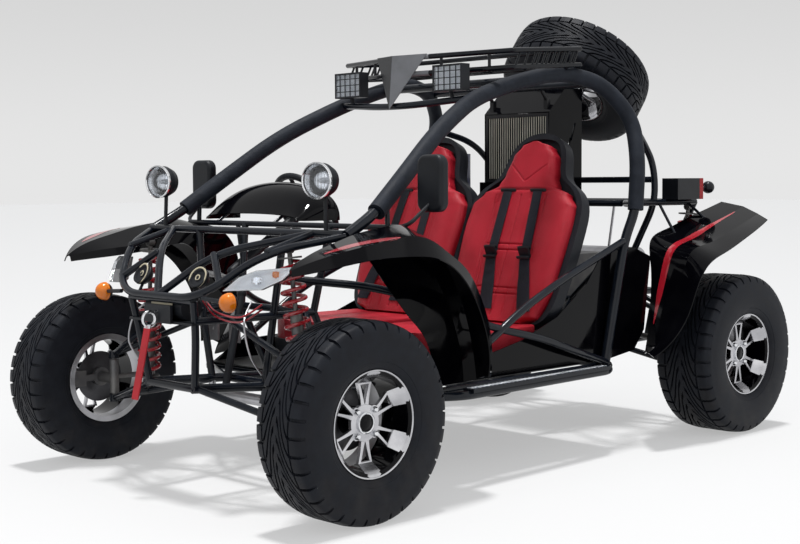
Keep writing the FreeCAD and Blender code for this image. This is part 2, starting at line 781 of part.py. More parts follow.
def side_panels(pan_top, *neighbours):
    """The glossy tub sides under the door bars, back to the rear fenders."""
    z = pan_top + SEAT_GAP
    outline = [
        (-1510.0, z),
        (-1690.0, 372.0),
        (-1758.0, 450.0),
        (-1778.0, 600.0),
        (-1800.0, 745.0),
        (-1690.0, 785.0),
        (-1560.0, 795.0),
        (-1490.0, 780.0),
        (-1380.0, 655.0),
        (-1200.0, 540.0),
        (-1000.0, 470.0),
        (-790.0, 430.0),
        (-560.0, 420.0),
        (-450.0, z),
    ]
    corners = [at(x, PANEL_Y - 6.0, height) for x, height in outline]
    plate = outline_solid(corners, PANEL_THICKNESS, FreeCAD.Vector(0, -1, 0))
    return trimmed(both_sides(plate), *neighbours)


def front_fenders():
    """Front wings: inner lip, inner crest, ridge, outer crease and outer lip."""
    inner_lip = [
        (160.0, 630.0, 768.0),
        (50.0, 548.0, 784.0),
        (-55.0, 500.0, 798.0),
        (-150.0, 490.0, 812.0),
        (-250.0, 490.0, 822.0),
        (-305.0, 493.0, 786.0),
        (-350.0, 497.0, 730.0),
        (-408.0, 506.0, 658.0),
        (-460.0, 520.0, 590.0),
        (-500.0, 545.0, 530.0),
        (-500.0, 590.0, 450.0),
        (-500.0, 645.0, 364.0),
    ]
    inner_crest = [
        (162.0, 634.0, 786.0),
        (50.0, 558.0, 810.0),
        (-60.0, 512.0, 824.0),
        (-160.0, 502.0, 846.0),
        (-265.0, 504.0, 878.0),
        (-355.0, 508.0, 890.0),
        (-445.0, 514.0, 864.0),
        (-515.0, 528.0, 800.0),
        (-560.0, 556.0, 715.0),
        (-590.0, 585.0, 612.0),
        (-598.0, 622.0, 500.0),
        (-580.0, 660.0, 368.0),
    ]
    ridge = [
        (165.0, 640.0, 789.0),
        (70.0, 640.0, 836.0),
        (-25.0, 632.0, 862.0),
        (-120.0, 625.0, 886.0),
        (-230.0, 620.0, 902.0),
        (-330.0, 620.0, 907.0),
        (-420.0, 622.0, 866.0),
        (-505.0, 628.0, 800.0),
        (-556.0, 640.0, 715.0),
        (-592.0, 655.0, 610.0),
        (-606.0, 675.0, 500.0),
        (-596.0, 705.0, 382.0),
    ]
    crease = [
        (168.0, 646.0, 786.0),
        (85.0, 722.0, 826.0),
        (-10.0, 774.0, 853.0),
        (-110.0, 786.0, 870.0),
        (-215.0, 787.0, 880.0),
        (-300.0, 786.0, 862.0),
        (-375.0, 786.0, 820.0),
        (-460.0, 785.0, 763.0),
        (-515.0, 785.0, 690.0),
        (-560.0, 784.0, 600.0),
        (-586.0, 781.0, 500.0),
        (-588.0, 775.0, 402.0),
    ]
    outer_lip = [
        (172.0, 652.0, 768.0),
        (95.0, 740.0, 790.0),
        (0.0, 798.0, 812.0),
        (-110.0, 815.0, 820.0),
        (-200.0, 817.0, 819.0),
        (-290.0, 815.0, 809.0),
        (-360.0, 814.0, 781.0),
        (-437.0, 812.0, 717.0),
        (-485.0, 811.0, 650.0),
        (-525.0, 810.0, 564.0),
        (-547.0, 808.0, 475.0),
        (-547.0, 802.0, 398.0),
    ]
    lines = [points_at(line) for line in (inner_lip, inner_crest, ridge, crease, outer_lip)]
    return both_sides(creased_sheet(lines, PANEL_THICKNESS))


def rear_fenders():
    """Rear wings: inner edge, ridge, outer crease and lip."""
    inner = [
        (-2425.0, 500.0, 958.0),
        (-2320.0, 495.0, 930.0),
        (-2165.0, 492.0, 890.0),
        (-2020.0, 492.0, 850.0),
        (-1890.0, 500.0, 800.0),
        (-1850.0, 532.0, 700.0),
        (-1828.0, 548.0, 580.0),
        (-1795.0, 562.0, 460.0),
        (-1745.0, 578.0, 352.0),
    ]
    ridge = [
        (-2440.0, 600.0, 938.0),
        (-2330.0, 600.0, 906.0),
        (-2160.0, 600.0, 855.0),
        (-2010.0, 600.0, 808.0),
        (-1900.0, 600.0, 770.0),
        (-1856.0, 602.0, 690.0),
        (-1815.0, 605.0, 575.0),
        (-1770.0, 610.0, 460.0),
        (-1700.0, 618.0, 366.0),
    ]
    crease = [
        (-2395.0, 700.0, 908.0),
        (-2290.0, 705.0, 876.0),
        (-2148.0, 706.0, 833.0),
        (-2000.0, 705.0, 793.0),
        (-1882.0, 702.0, 758.0),
        (-1842.0, 700.0, 690.0),
        (-1795.0, 697.0, 571.0),
        (-1722.0, 690.0, 448.0),
        (-1626.0, 680.0, 374.0),
    ]
    lip = [
        (-2330.0, 785.0, 886.0),
        (-2240.0, 795.0, 853.0),
        (-2126.0, 800.0, 812.0),
        (-1990.0, 800.0, 764.0),
        (-1870.0, 797.0, 716.0),
        (-1815.0, 792.0, 655.0),
        (-1750.0, 786.0, 531.0),
        (-1657.0, 775.0, 430.0),
        (-1560.0, 752.0, 370.0),
    ]
    lines = [points_at(line) for line in (inner, ridge, crease, lip)]
    return both_sides(creased_sheet(lines, PANEL_THICKNESS))


def cowl():
    """The hooded instrument cover ahead of the steering wheel."""
    middle = -250.0
    grid = []
    for x, half, foot, rise in (
        (-380.0, 270.0, 916.0, 22.0),
        (-415.0, 285.0, 914.0, 74.0),
        (-460.0, 295.0, 914.0, 118.0),
        (-515.0, 300.0, 914.0, 138.0),
        (-565.0, 296.0, 914.0, 134.0),
    ):
        row = []
        steps = 8
        for index in range(steps + 1):
            angle = math.pi * index / steps
            bulge = math.sin(angle) ** 0.8 if 0 < index < steps else 0.0
            row.append(at(x, middle - half * math.cos(angle), foot + rise * bulge))
        grid.append(row)
    return skin(grid, PANEL_THICKNESS)


# Seats

def seat_point(up, across, forward):
    """A point on a seat back: up its slope, across it and out of its face."""
    tilt = math.radians(SEAT_BACK_TILT)
    x = SEAT_FOOT_X - up * math.sin(tilt) + forward * math.cos(tilt)
    z = SEAT_FOOT_Z + up * math.cos(tilt) + forward * math.sin(tilt)
    return at(x, SEAT_Y + across, z)


def seat_back(margin, front, thickness):
    corners = []
    left = [(up, half + margin) for up, half in SEAT_BACK_OUTLINE]
    for up, half in left:
        corners.append(seat_point(up, half, front))
    corners.append(seat_point(SEAT_BACK_TOP + margin, 0.0, front))
    for up, half in reversed(left):
        corners.append(seat_point(up, -half, front))
    normal = seat_point(0.0, 0.0, 0.0) - seat_point(0.0, 0.0, 1.0)
    return smooth_outline_solid(corners, thickness, normal)


def base_outline(margin, z):
    """Outline of a seat base, as a level curve."""
    rear = SEAT_FOOT_X + 34.0
    corners = []
    for x, half in (
        (rear, 200.0),
        (rear + 60.0, 232.0),
        (rear + 260.0, 240.0),
        (SEAT_BASE_FRONT_X - 110.0, 222.0),
        (SEAT_BASE_FRONT_X - 25.0, 150.0),
    ):
        corners.append(at(x, SEAT_Y + half + margin, z))
    corners.append(at(SEAT_BASE_FRONT_X + margin, SEAT_Y, z))
    mirror_y = 2.0 * SEAT_Y
    for corner in reversed(corners[:-1]):
        corners.append(FreeCAD.Vector(corner.x, mirror_y - corner.y, z))
    return corners


def seat_covers():
    back = seat_back(0.0, SEAT_PAD_THICKNESS, SEAT_PAD_THICKNESS)
    low = SEAT_FOOT_Z - 78.0
    base = smooth_outline_solid(base_outline(0.0, low), 100.0, FreeCAD.Vector(0, 0, 1))
    back = back.cut(base)
    return both_sides(group([back, base]))


def seat_shells(covers, floor_top):
    """The black backs and pans that the covers sit in."""
    back = seat_back(SEAT_SHELL_MARGIN, SEAT_PAD_THICKNESS * 0.4, SEAT_SHELL_THICKNESS + SEAT_PAD_THICKNESS * 0.4)
    low = SEAT_FOOT_Z - 106.0
    base = smooth_outline_solid(base_outline(18.0, low), 46.0, FreeCAD.Vector(0, 0, 1))
    link = box(at(SEAT_FOOT_X - 40.0, SEAT_Y - 150.0, low), at(SEAT_FOOT_X + 80.0, SEAT_Y + 150.0, low + 110.0))
    runners = []
    for y in (SEAT_Y - 150.0, SEAT_Y + 130.0):
        runners.append(box(at(-1130.0, y, floor_top + SEAT_GAP), at(-760.0, y + 20.0, low + 2.0)))
    whole = joined([back, base, link] + runners)
    return trimmed(both_sides(whole), covers)


def harnesses(covers):
    """Two shoulder belts on each seat back."""
    belts = []
    width = 46.0
    thickness = 4.0
    stand = SEAT_PAD_THICKNESS + SEAT_GAP
    for across_top, across_low in ((-72.0, -30.0), (82.0, 165.0)):
        corners = [
            seat_point(555.0, across_top - width / 2.0, stand),
            seat_point(555.0, across_top + width / 2.0, stand),
            seat_point(60.0, across_low + width / 2.0, stand),
            seat_point(60.0, across_low - width / 2.0, stand),
        ]
        outward = seat_point(0.0, 0.0, 1.0) - seat_point(0.0, 0.0, 0.0)
        belts.append(outline_solid(corners, thickness, outward))
    return both_sides(group(belts)).cut(covers)


# Lamps and trim

def fog_lamp_parts():
    """Two round lamps on posts: shells and lenses."""
    radius = 60.0
    depth = 78.0
    lens_thickness = 9.0
    bowl_depth = 48.0
    bulb_seat = 18.0
    turn = math.radians(12.0)
    axis = FreeCAD.Vector(math.cos(turn), math.sin(turn), 0)
    shells = []
    lenses = []
    for side in (-1.0, 1.0):
        face = at(-107.0, side * 450.0, 1060.0)
        shell = revolved(
            [
                (0.0, radius - 4.0),
                (4.0, radius - 4.0),
                (4.0, radius),
                (-0.40 * depth, radius * 0.97),
                (-0.75 * depth, radius * 0.80),
                (-depth, radius * 0.45),
                (-depth, 0.0),
                (-bowl_depth, 0.0),
                (-bowl_depth, bulb_seat),
                (-10.0, radius - 4.0),
            ],
            face,
            axis,
        )
        lens = revolved(
            [
                (-4.0, 0.0),
                (-4.0, radius - 4.0 - SEAT_GAP),
                (0.0, radius - 4.0 - SEAT_GAP),
                (lens_thickness * 0.6, radius * 0.6),
                (lens_thickness, 0.0),
            ],
            face,
            axis,
        )
        post_x = TOWER_X
        post_low = at(post_x, side * 455.0, TOWER_Z)
        post_high = at(post_x - 4.0, side * 452.0, 1060.0 - radius + 8.0)
        shells.append(joined([shell, rod(post_low, post_high, 14.0)]))
        lenses.append(lens)
    return group(shells), group(lenses)


def lamp_guard(face, width, height):
    """Crossed bars over a square lamp's face."""
    bar = 3.0
    upright_gaps = 5
    level_gaps = 4
    pieces = []
    for index in range(1, upright_gaps):
        y = width * (index / upright_gaps - 0.5)
        low = face + FreeCAD.Vector(-bar, y - bar / 2.0, 2.0 - height / 2.0)
        pieces.append(box(low, low + FreeCAD.Vector(bar, bar, height - 4.0)))
    for index in range(1, level_gaps):
        z = height * (index / level_gaps - 0.5)
        low = face + FreeCAD.Vector(-bar, 2.0 - width / 2.0, z - bar / 2.0)
        pieces.append(box(low, low + FreeCAD.Vector(bar, width - 4.0, bar)))
    return pieces


def roof_lamp_parts(brace):
    """Two square lamps on the lamp bar: boxes and lenses."""
    width = 150.0
    height = 100.0
    depth = 46.0
    wall = 6.0
    bowl_depth = 34.0
    lens_back = 9.0
    lens_front = 4.0
    boxes = []
    lenses = []
    for side in (-1.0, 1.0):
        face = at(-905.0, side * 276.0, 1442.0)
        low = face + FreeCAD.Vector(-depth, -width / 2.0, -height / 2.0)
        high = face + FreeCAD.Vector(0, width / 2.0, height / 2.0)
        body = box(low, high)
        recess_low = face + FreeCAD.Vector(-bowl_depth, wall - width / 2.0, wall - height / 2.0)
        recess_high = face + FreeCAD.Vector(0, width / 2.0 - wall, height / 2.0 - wall)
        body = body.cut(box(recess_low, recess_high))
        gap = FreeCAD.Vector(0, SEAT_GAP, SEAT_GAP)
        lens_low = recess_low + gap
        lens_low.x = face.x - lens_back
        lens_high = recess_high - gap
        lens_high.x = face.x - lens_front
        lens = box(lens_low, lens_high)
        guard = lamp_guard(face, width, height)
        foot = rod(face + FreeCAD.Vector(-depth / 2.0, 0, -height / 2.0 + 2.0), at(-940.0, side * 276.0, 1359.0), 16.0)
        boxes.append(joined([body, foot] + guard))
        lenses.append(lens)
    return trimmed(group(boxes), brace), group(lenses)


def headlamp_parts():
    """Pointed headlamps under the nose rails: hollow housings and lenses."""
    outline = [
        at(183.0, 320.0, 708.0),
        at(146.0, 356.0, 752.0),
        at(108.0, 402.0, 774.0),
        at(20.0, 500.0, 787.0),
        at(56.0, 468.0, 744.0),
        at(100.0, 412.0, 712.0),
    ]
    direction = (outline[2] - outline[0]).cross(outline[4] - outline[0])
    direction.normalize()
    if direction.x < 0:
        direction = direction * -1.0
    flat = []
    for corner in outline:
        flat.append(corner - direction * (corner - outline[0]).dot(direction))
    middle = FreeCAD.Vector(0, 0, 0)
    for corner in flat:
        middle += corner * (1.0 / len(flat))
    rim_share = 0.12
    pocket_depth = 30.0
    lens_depth = 10.0
    housing_depth = 42.0
    lens = outline_solid(flat, lens_depth, direction)
    housing = outline_solid([corner - direction * SEAT_GAP for corner in flat], housing_depth, direction * -1.0)
    pocket = outline_solid([corner + (middle - corner) * rim_share for corner in flat], pocket_depth, direction * -1.0)
    return both_sides(housing.cut(pocket)), both_sides(lens)


def indicators(nose):
    """Amber front indicators on stalks."""
    pieces = []
    ball = Part.makeSphere(31.0, at(191.0, 361.0, 674.0))
    stalk = rod(at(191.0, 361.0, 674.0), at(200.0, 236.0, 682.0), 14.0)
    pieces.append(joined([ball, stalk]))
    return trimmed(both_sides(joined(pieces)), nose)


def tail_lamps(rear):
    """Rear lamp boxes, each with an indicator ball on a stalk."""
    body = box(at(-2250.0, 440.0, 972.0), at(-2060.0, 520.0, 1062.0))
    stalk = rod(at(-2200.0, 500.0, 1020.0), at(-2310.0, 500.0, 1022.0), 14.0)
    ball = Part.makeSphere(27.0, at(-2318.0, 500.0, 1022.0))
    return trimmed(both_sides(joined([body, stalk, ball])), rear)


def mirrors(*neighbours):
    head = box(at(-478.0, 578.0, 952.0), at(-436.0, 696.0, 1145.0))
    corner_radius = 34.0
    head = head.makeFillet(corner_radius, [edge for edge in head.Edges if abs(edge.BoundBox.XLength) > 1.0])
    rear_face = head.BoundBox.XMin
    back_edges = [edge for edge in head.Edges if abs(edge.BoundBox.XMin - rear_face) < 1.0 and edge.BoundBox.XLength < 1.0]
    front_face = head.BoundBox.XMax
    for edge in head.Edges:
        if abs(edge.BoundBox.XMin - front_face) < 1.0:
            back_edges.append(edge)
    head = head.makeFillet(14.0, back_edges)
    arm = tube_at([(DASH_X, 578.0, DASH_Z), (-366.0, 620.0, 915.0), (-450.0, 637.0, 985.0)], 14.0)
    return trimmed(both_sides(joined([head, arm])), *neighbours)


def winch(front):
    drum = rod(at(150.0, -105.0, 636.0), at(150.0, 105.0, 636.0), 84.0)
    tray = box(at(105.0, -182.0, 588.0), at(205.0, 182.0, 596.0))
    guide = box(at(205.0, -75.0, 588.0), at(215.0, 75.0, 650.0))
    return trimmed(joined([drum, tray, guide]), front)


def winch_hook(winch_body):
    """The hook at the rope's end, and the red strap that hangs from it."""
    ring = Part.makeTorus(24.0, 6.0, at(247.0, 0.0, 603.0), FreeCAD.Vector(0, 1, 0))
    neck = rod(at(212.0, 0.0, 628.0), at(232.0, 0.0, 620.0), 12.0)
    strap = outline_solid(
        [
            at(250.0, -18.0, 585.0),
            at(250.0, 18.0, 585.0),
            at(282.0, -20.0, 332.0),
            at(282.0, -56.0, 332.0),
        ],
        4.0,
        FreeCAD.Vector(1, 0, 0),
    )
    return trimmed(joined([ring, neck, strap]), winch_body)


def horns(front):
    """Two disc horns behind the bumper's V."""
    pieces = []
    axis = FreeCAD.Vector(0.8, 0.1, 0.6)
    axis.normalize()
    for y in (-162.0, 162.0):
        face = at(163.0, y, 744.0)
        disc = revolved(
            [
                (-26.0, 0.0),
                (-26.0, 28.0),
                (-10.0, 38.0),
                (0.0, 38.0),
                (2.0, 36.0),
                (2.0, 32.0),
                (-3.0, 29.0),
                (-3.0, 13.0),
                (1.0, 11.0),
                (1.0, 0.0),
            ],
            face,
            axis,
        )
        foot = rod(face - axis * 20.0, at(196.0, y * 0.9, 668.0), 10.0)
        pieces.append(joined([disc, foot]))
    return trimmed(group(pieces), front)


# Front suspension

def front_arms(floor, front):
    """Upper and lower A-arms with the kingpin bosses at their tips."""
    low_tip = at(0.0, KINGPIN_Y, KINGPIN_LOW_Z)
    high_tip = at(0.0, KINGPIN_Y, KINGPIN_HIGH_Z)
    half = BOSS_HEIGHT / 2.0
    up = FreeCAD.Vector(0, 0, half)
    bore = Part.makeCylinder(KINGPIN_RADIUS + RUNNING_FIT, KINGPIN_HIGH_Z - KINGPIN_LOW_Z + BOSS_HEIGHT, low_tip - up)
    lower = joined([
        rod(at(150.0, 132.0, 370.0), low_tip, ARM_TUBE),
        rod(at(-150.0, 152.0, 350.0), low_tip, ARM_TUBE),
        rod(at(45.0, 455.0, 288.0), at(-50.0, 455.0, 283.0), ARM_TUBE),
        Part.makeCylinder(BOSS_RADIUS, BOSS_HEIGHT, low_tip - up),
    ])
    upper = joined([
        rod(at(60.0, 190.0, 600.0), high_tip, ARM_TUBE - 2.0),
        rod(at(-262.0, 206.0, 600.0), high_tip, ARM_TUBE - 2.0),
        Part.makeCylinder(BOSS_RADIUS, BOSS_HEIGHT, high_tip - up),
    ])
    pair = group([lower.cut(bore), upper.cut(bore)])
    return trimmed(both_sides(pair), floor, front)


def knuckle():
    """Left steering knuckle: kingpin post, spindle and steering arm."""
    low = KINGPIN_LOW_Z + BOSS_HEIGHT / 2.0 + MOVING_GAP
    high = KINGPIN_HIGH_Z - BOSS_HEIGHT / 2.0 - MOVING_GAP
    foot = at(0.0, KINGPIN_Y, 0.0)
    up = FreeCAD.Vector(0, 0, 1)
    post = Part.makeCylinder(17.0, high - low, foot + up * low)
    pin_low = KINGPIN_LOW_Z - BOSS_HEIGHT / 2.0
    pin_high = KINGPIN_HIGH_Z + BOSS_HEIGHT / 2.0
    pin = Part.makeCylinder(KINGPIN_RADIUS, pin_high - pin_low, foot + up * pin_low)
    reach = FRONT_WHEEL_Y + spindle_reach(FRONT_TYRE_WIDTH)
    spindle = rod(at(0.0, KINGPIN_Y, FRONT_TYRE_RADIUS), at(0.0, reach, FRONT_TYRE_RADIUS), 2.0 * SPINDLE_RADIUS)
    flange_y = FRONT_WHEEL_Y - 30.0 - 1.0
    flange = rod(at(0.0, flange_y - 14.0, FRONT_TYRE_RADIUS), at(0.0, flange_y, FRONT_TYRE_RADIUS), 70.0)
    end = at(-STEERING_ARM_LENGTH, KINGPIN_Y - 15.0, RACK_Z + STEERING_ARM_RISE)
    arm = tube([at(0.0, KINGPIN_Y, RACK_Z + STEERING_ARM_RISE), end], 20.0)
    eye = Part.makeCylinder(14.0, 16.0, end - up * 8.0)
    return joined([post, pin, spindle, flange, arm, eye, brake_caliper(flange_y)])


def brake_caliper(flange_y):
    """The caliper that straddles the disc ahead of the spindle, on its bracket."""
    half_height = 30.0
    inner = 72.0
    outer = 122.0
    bridge = DISC_RADIUS + MOVING_GAP
    disc_low = FRONT_WHEEL_Y + HUB_BACK
    slot_low = disc_low - MOVING_GAP
    slot_high = disc_low + DISC_THICKNESS + MOVING_GAP
    wall = 16.0
    z = FRONT_TYRE_RADIUS
    body = box(at(inner, slot_low - wall, z - half_height), at(outer, slot_high + wall, z + half_height))
    slot = box(at(0.0, slot_low, z - 2.0 * half_height), at(bridge, slot_high, z + 2.0 * half_height))
    bracket = box(at(20.0, slot_low - 12.0, z - 12.0), at(inner + 10.0, slot_low, z + 12.0))
    return body.cut(slot).fuse(bracket)


def steering_rack(floor, front):
    """The fixed rack housing between the centre rails."""
    x = -STEERING_ARM_LENGTH
    body = rod(at(x, -RACK_HALF_LENGTH, RACK_Z), at(x, RACK_HALF_LENGTH, RACK_Z), 2.0 * RACK_RADIUS)
    bore = rod(
        at(x, -RACK_HALF_LENGTH, RACK_Z),
        at(x, RACK_HALF_LENGTH, RACK_Z),
        2.0 * (TIE_ROD_RADIUS + RUNNING_FIT),
    )
    pieces = [body]
    for y in (-150.0, 150.0):
        pieces.append(rod(at(x, y, RACK_Z), at(x, y, 345.0), 26.0))
    housing = joined(pieces).cut(bore)
    return trimmed(housing, floor, front)


def tie_rods():
    """The sliding rack bar with both tie rods and their end eyes."""
    x = -STEERING_ARM_LENGTH
    half = KINGPIN_Y - 15.0
    gap = 1.5
    eye_top = RACK_Z + STEERING_ARM_RISE - 10.0 - gap
    pieces = [rod(at(x, -half, RACK_Z), at(x, half, RACK_Z), 2.0 * TIE_ROD_RADIUS)]
    for y in (-half, half):
        pieces.append(Part.makeCylinder(13.0, 22.0, at(x, y, eye_top - 22.0)))
    return joined(pieces)


def steering_axis():
    tilt = math.radians(STEERING_TILT)
    return FreeCAD.Vector(-math.cos(tilt), 0, math.sin(tilt))


def steering_hub():
    return at(-686.0, -SEAT_Y, 950.0)


def steering_wheel():
    hub = steering_hub()
    axis = steering_axis()
    ring = Part.makeTorus(STEERING_WHEEL_RADIUS, STEERING_WHEEL_GRIP / 2.0, hub, axis)
    boss = Part.makeCylinder(34.0, 32.0, hub - axis * 18.0, axis)
    shaft = Part.makeCylinder(11.0, 220.0, hub - axis * 220.0, axis)
    spokes = []
    side = FreeCAD.Vector(0, 1, 0)
    across = axis.cross(side)
    for angle in (90.0, 210.0, 330.0):
        direction = side * math.cos(math.radians(angle)) - across * math.sin(math.radians(angle))
        spokes.append(rod(hub, hub + direction * STEERING_WHEEL_RADIUS, 16.0))
    return joined([ring, boss, shaft] + spokes)


def steering_column(front, rack, brace):
    """The fixed column from behind the wheel down to the rack."""
    hub = steering_hub()
    axis = steering_axis()
    top = hub - axis * 60.0
    knee = hub - axis * 430.0
    elbow = at(-252.0, -140.0, 650.0)
    foot = at(-STEERING_ARM_LENGTH, -80.0, RACK_Z)
    outer = joined([
        rod(top, knee, 40.0),
        rod(knee, elbow, 28.0),
        rod(elbow, foot, 28.0),
        Part.makeSphere(20.0, knee),
        Part.makeSphere(18.0, elbow),
    ])
    bore = Part.makeCylinder(11.0 + RUNNING_FIT, 165.0, hub - axis * 224.0, axis)
    hanger = rod(hub - axis * 370.0, at(DASH_X, -SEAT_Y, DASH_Z), 18.0)
    return trimmed(joined([outer, hanger]).cut(bore), rack, front, brace)


# Dampers

def damper(top, bottom):
    """A damper: body, rod and both eyes, with the spring's seats."""
    axis = bottom - top
    length = axis.Length
    axis.normalize()
    side = FreeCAD.Vector(1, 0, 0)
    eye_top = rod(top - side * 12.0, top + side * 12.0, 28.0)
    eye_low = rod(bottom - side * 12.0, bottom + side * 12.0, 28.0)
    shaft = Part.makeCylinder(8.0, length, top, axis)
    body = Part.makeCylinder(21.0, length * 0.52, top + axis * (length * 0.40), axis)
    seat_thickness = 6.0
    cup = Part.makeCylinder(39.0, seat_thickness, top + axis * (SPRING_TOP_SEAT - seat_thickness), axis)
    seat = Part.makeCylinder(39.0, seat_thickness, bottom - axis * SPRING_LOW_SEAT, axis)
    return joined([eye_top, eye_low, shaft, body, cup, seat])


def spring(top, bottom):
    """A coil spring between its two seats."""
    axis = bottom - top
    reach = axis.Length - SPRING_TOP_SEAT - SPRING_LOW_SEAT - 2.0 * SEAT_GAP
    axis.normalize()
    height = reach - SPRING_WIRE
    path = Part.makeHelix(height / SPRING_TURNS, height, SPRING_RADIUS)
    rise = FreeCAD.Vector(0, 2.0 * math.pi * SPRING_RADIUS, height / SPRING_TURNS)
    circle = Part.Circle(FreeCAD.Vector(SPRING_RADIUS, 0, 0), rise, SPRING_WIRE / 2.0)
    coil = Part.Wire(path.Edges).makePipeShell([Part.Wire([circle.toShape()])], True, True)
    start = top + axis * (SPRING_TOP_SEAT + SEAT_GAP + SPRING_WIRE / 2.0)
    coil.Placement = FreeCAD.Placement(start, FreeCAD.Rotation(FreeCAD.Vector(0, 0, 1), axis))
    return coil


def damper_ends():
    front = (at(-32.0, 396.0, 838.0), at(-52.0, 452.0, 303.0))
    rear = (at(REAR_AXLE - 75.0, 446.0, 938.0), at(REAR_AXLE - 75.0, 420.0, 306.0))
    return front, rear


def dampers(*carriers):
    pieces = [damper(*ends) for ends in damper_ends()]
    return trimmed(both_sides(group(pieces)), *carriers)


def springs():
    pieces = [spring(*ends) for ends in damper_ends()]
    return both_sides(group(pieces))


# Rear suspension and drive

def rear_arms(floor, rear):
    hub = at(REAR_AXLE, 500.0, 0.0)
    up = FreeCAD.Vector(0, 0, 1)
    foot = FreeCAD.Vector(55.0, 0, 0)
    low = hub + up * 262.0
    high = hub + up * 440.0
    pieces = [
        rod(at(-2040.0, 192.0, 340.0), low + foot, ARM_TUBE),
        rod(at(-2300.0, 194.0, 346.0), low - foot, ARM_TUBE),
        rod(at(-2060.0, 240.0, 560.0), high + foot * 0.5, ARM_TUBE - 2.0),
        rod(at(-2165.0, 240.0, 560.0), high, ARM_TUBE - 2.0),
        rod(at(-2095.0, 420.0, 284.0), at(-2245.0, 420.0, 284.0), ARM_TUBE),
        box(hub + FreeCAD.Vector(-68.0, -16.0, 245.0), hub + FreeCAD.Vector(68.0, 22.0, 290.0)),
        box(hub + FreeCAD.Vector(-40.0, -16.0, 280.0), hub + FreeCAD.Vector(40.0, 22.0, 455.0)),
    ]
    reach = REAR_WHEEL_Y + spindle_reach(REAR_TYRE_WIDTH) - 500.0
    centre = hub + up * REAR_TYRE_RADIUS
    side = FreeCAD.Vector(0, 1, 0)
    pieces.append(Part.makeCylinder(SPINDLE_RADIUS, reach, centre, side))
    flange_y = REAR_WHEEL_Y - 30.0 - 1.0 - 500.0
    pieces.append(Part.makeCylinder(35.0, flange_y - 20.0, centre + side * 20.0, side))
    return trimmed(both_sides(joined(pieces)), floor, rear)


def drive_line(arms, floor, rear):
    """The final drive between the rails, and its shafts to both hubs."""
    z = REAR_TYRE_RADIUS + 60.0
    case = box(at(REAR_AXLE - 75.0, -130.0, 362.0), at(REAR_AXLE + 75.0, 130.0, 500.0))
    shafts = []
    for side in (-1.0, 1.0):
        shafts.append(rod(at(REAR_AXLE, side * 120.0, z), at(REAR_AXLE, side * 500.0, REAR_TYRE_RADIUS), 26.0))
    return trimmed(joined([case] + shafts), arms, floor, rear)


def engine(rear, floor):
    block = box(at(-2060.0, -172.0, 362.0), at(-1725.0, 172.0, 740.0))
    feet = []
    for x in (-2000.0, -1800.0):
        foot = box(at(x, 160.0, 347.0), at(x + 40.0, 196.0, 374.0))
        feet.append(foot)
        feet.append(mirrored(foot))
    return trimmed(joined([block] + feet), rear, floor)


def exhaust(rear, motor):
    silencer = rod(at(-2235.0, -150.0, 690.0), at(-2235.0, 190.0, 690.0), 130.0)
    pipe = tube_at([(-2050.0, 100.0, 660.0), (-2120.0, 100.0, 660.0), (-2235.0, 100.0, 690.0)], 36.0)
    tail = rod(at(-2235.0, -120.0, 690.0), at(-2370.0, -120.0, 700.0), 40.0)
    hanger = rod(at(-2235.0, 20.0, 700.0), at(-2290.0, 20.0, 960.0), 12.0)
    return trimmed(joined([silencer, pipe, tail, hanger]), rear, motor)


def radiator(brace):
    """Finned core in its frame, held under the rear roof cross tube."""
    half = RADIATOR_WIDTH / 2.0
    front_x = RADIATOR_FRONT_X
    low = at(front_x - RADIATOR_DEPTH, -half, RADIATOR_LOW_Z)
    high = at(front_x, half, RADIATOR_TOP_Z)
    border = 14.0
    recess = 20.0
    inset = FreeCAD.Vector(0, border, border)
    pocket_low = low + inset
    pocket_low.x = high.x - recess
    pieces = [box(low, high).cut(box(pocket_low, high - inset))]
    fins = 26
    pitch = (RADIATOR_WIDTH - 2.0 * border) / fins
    fin = 3.0
    for index in range(fins):
        y = -half + border + (index + 0.5) * pitch
        fin_low = at(front_x - recess - 1.0, y - fin / 2.0, RADIATOR_LOW_Z + border - 1.0)
        fin_high = at(front_x - 3.0, y + fin / 2.0, RADIATOR_TOP_Z - border + 1.0)
        pieces.append(box(fin_low, fin_high))
    for y in (-150.0, 150.0):
        pieces.append(box(at(-1654.0, y - 10.0, RADIATOR_TOP_Z - 2.0), at(-1634.0, y + 10.0, 1400.0)))
        pieces.append(rod(at(-1644.0, y, 1390.0), at(-1600.0, y, 1440.0), 16.0))
    return trimmed(joined(pieces), brace)


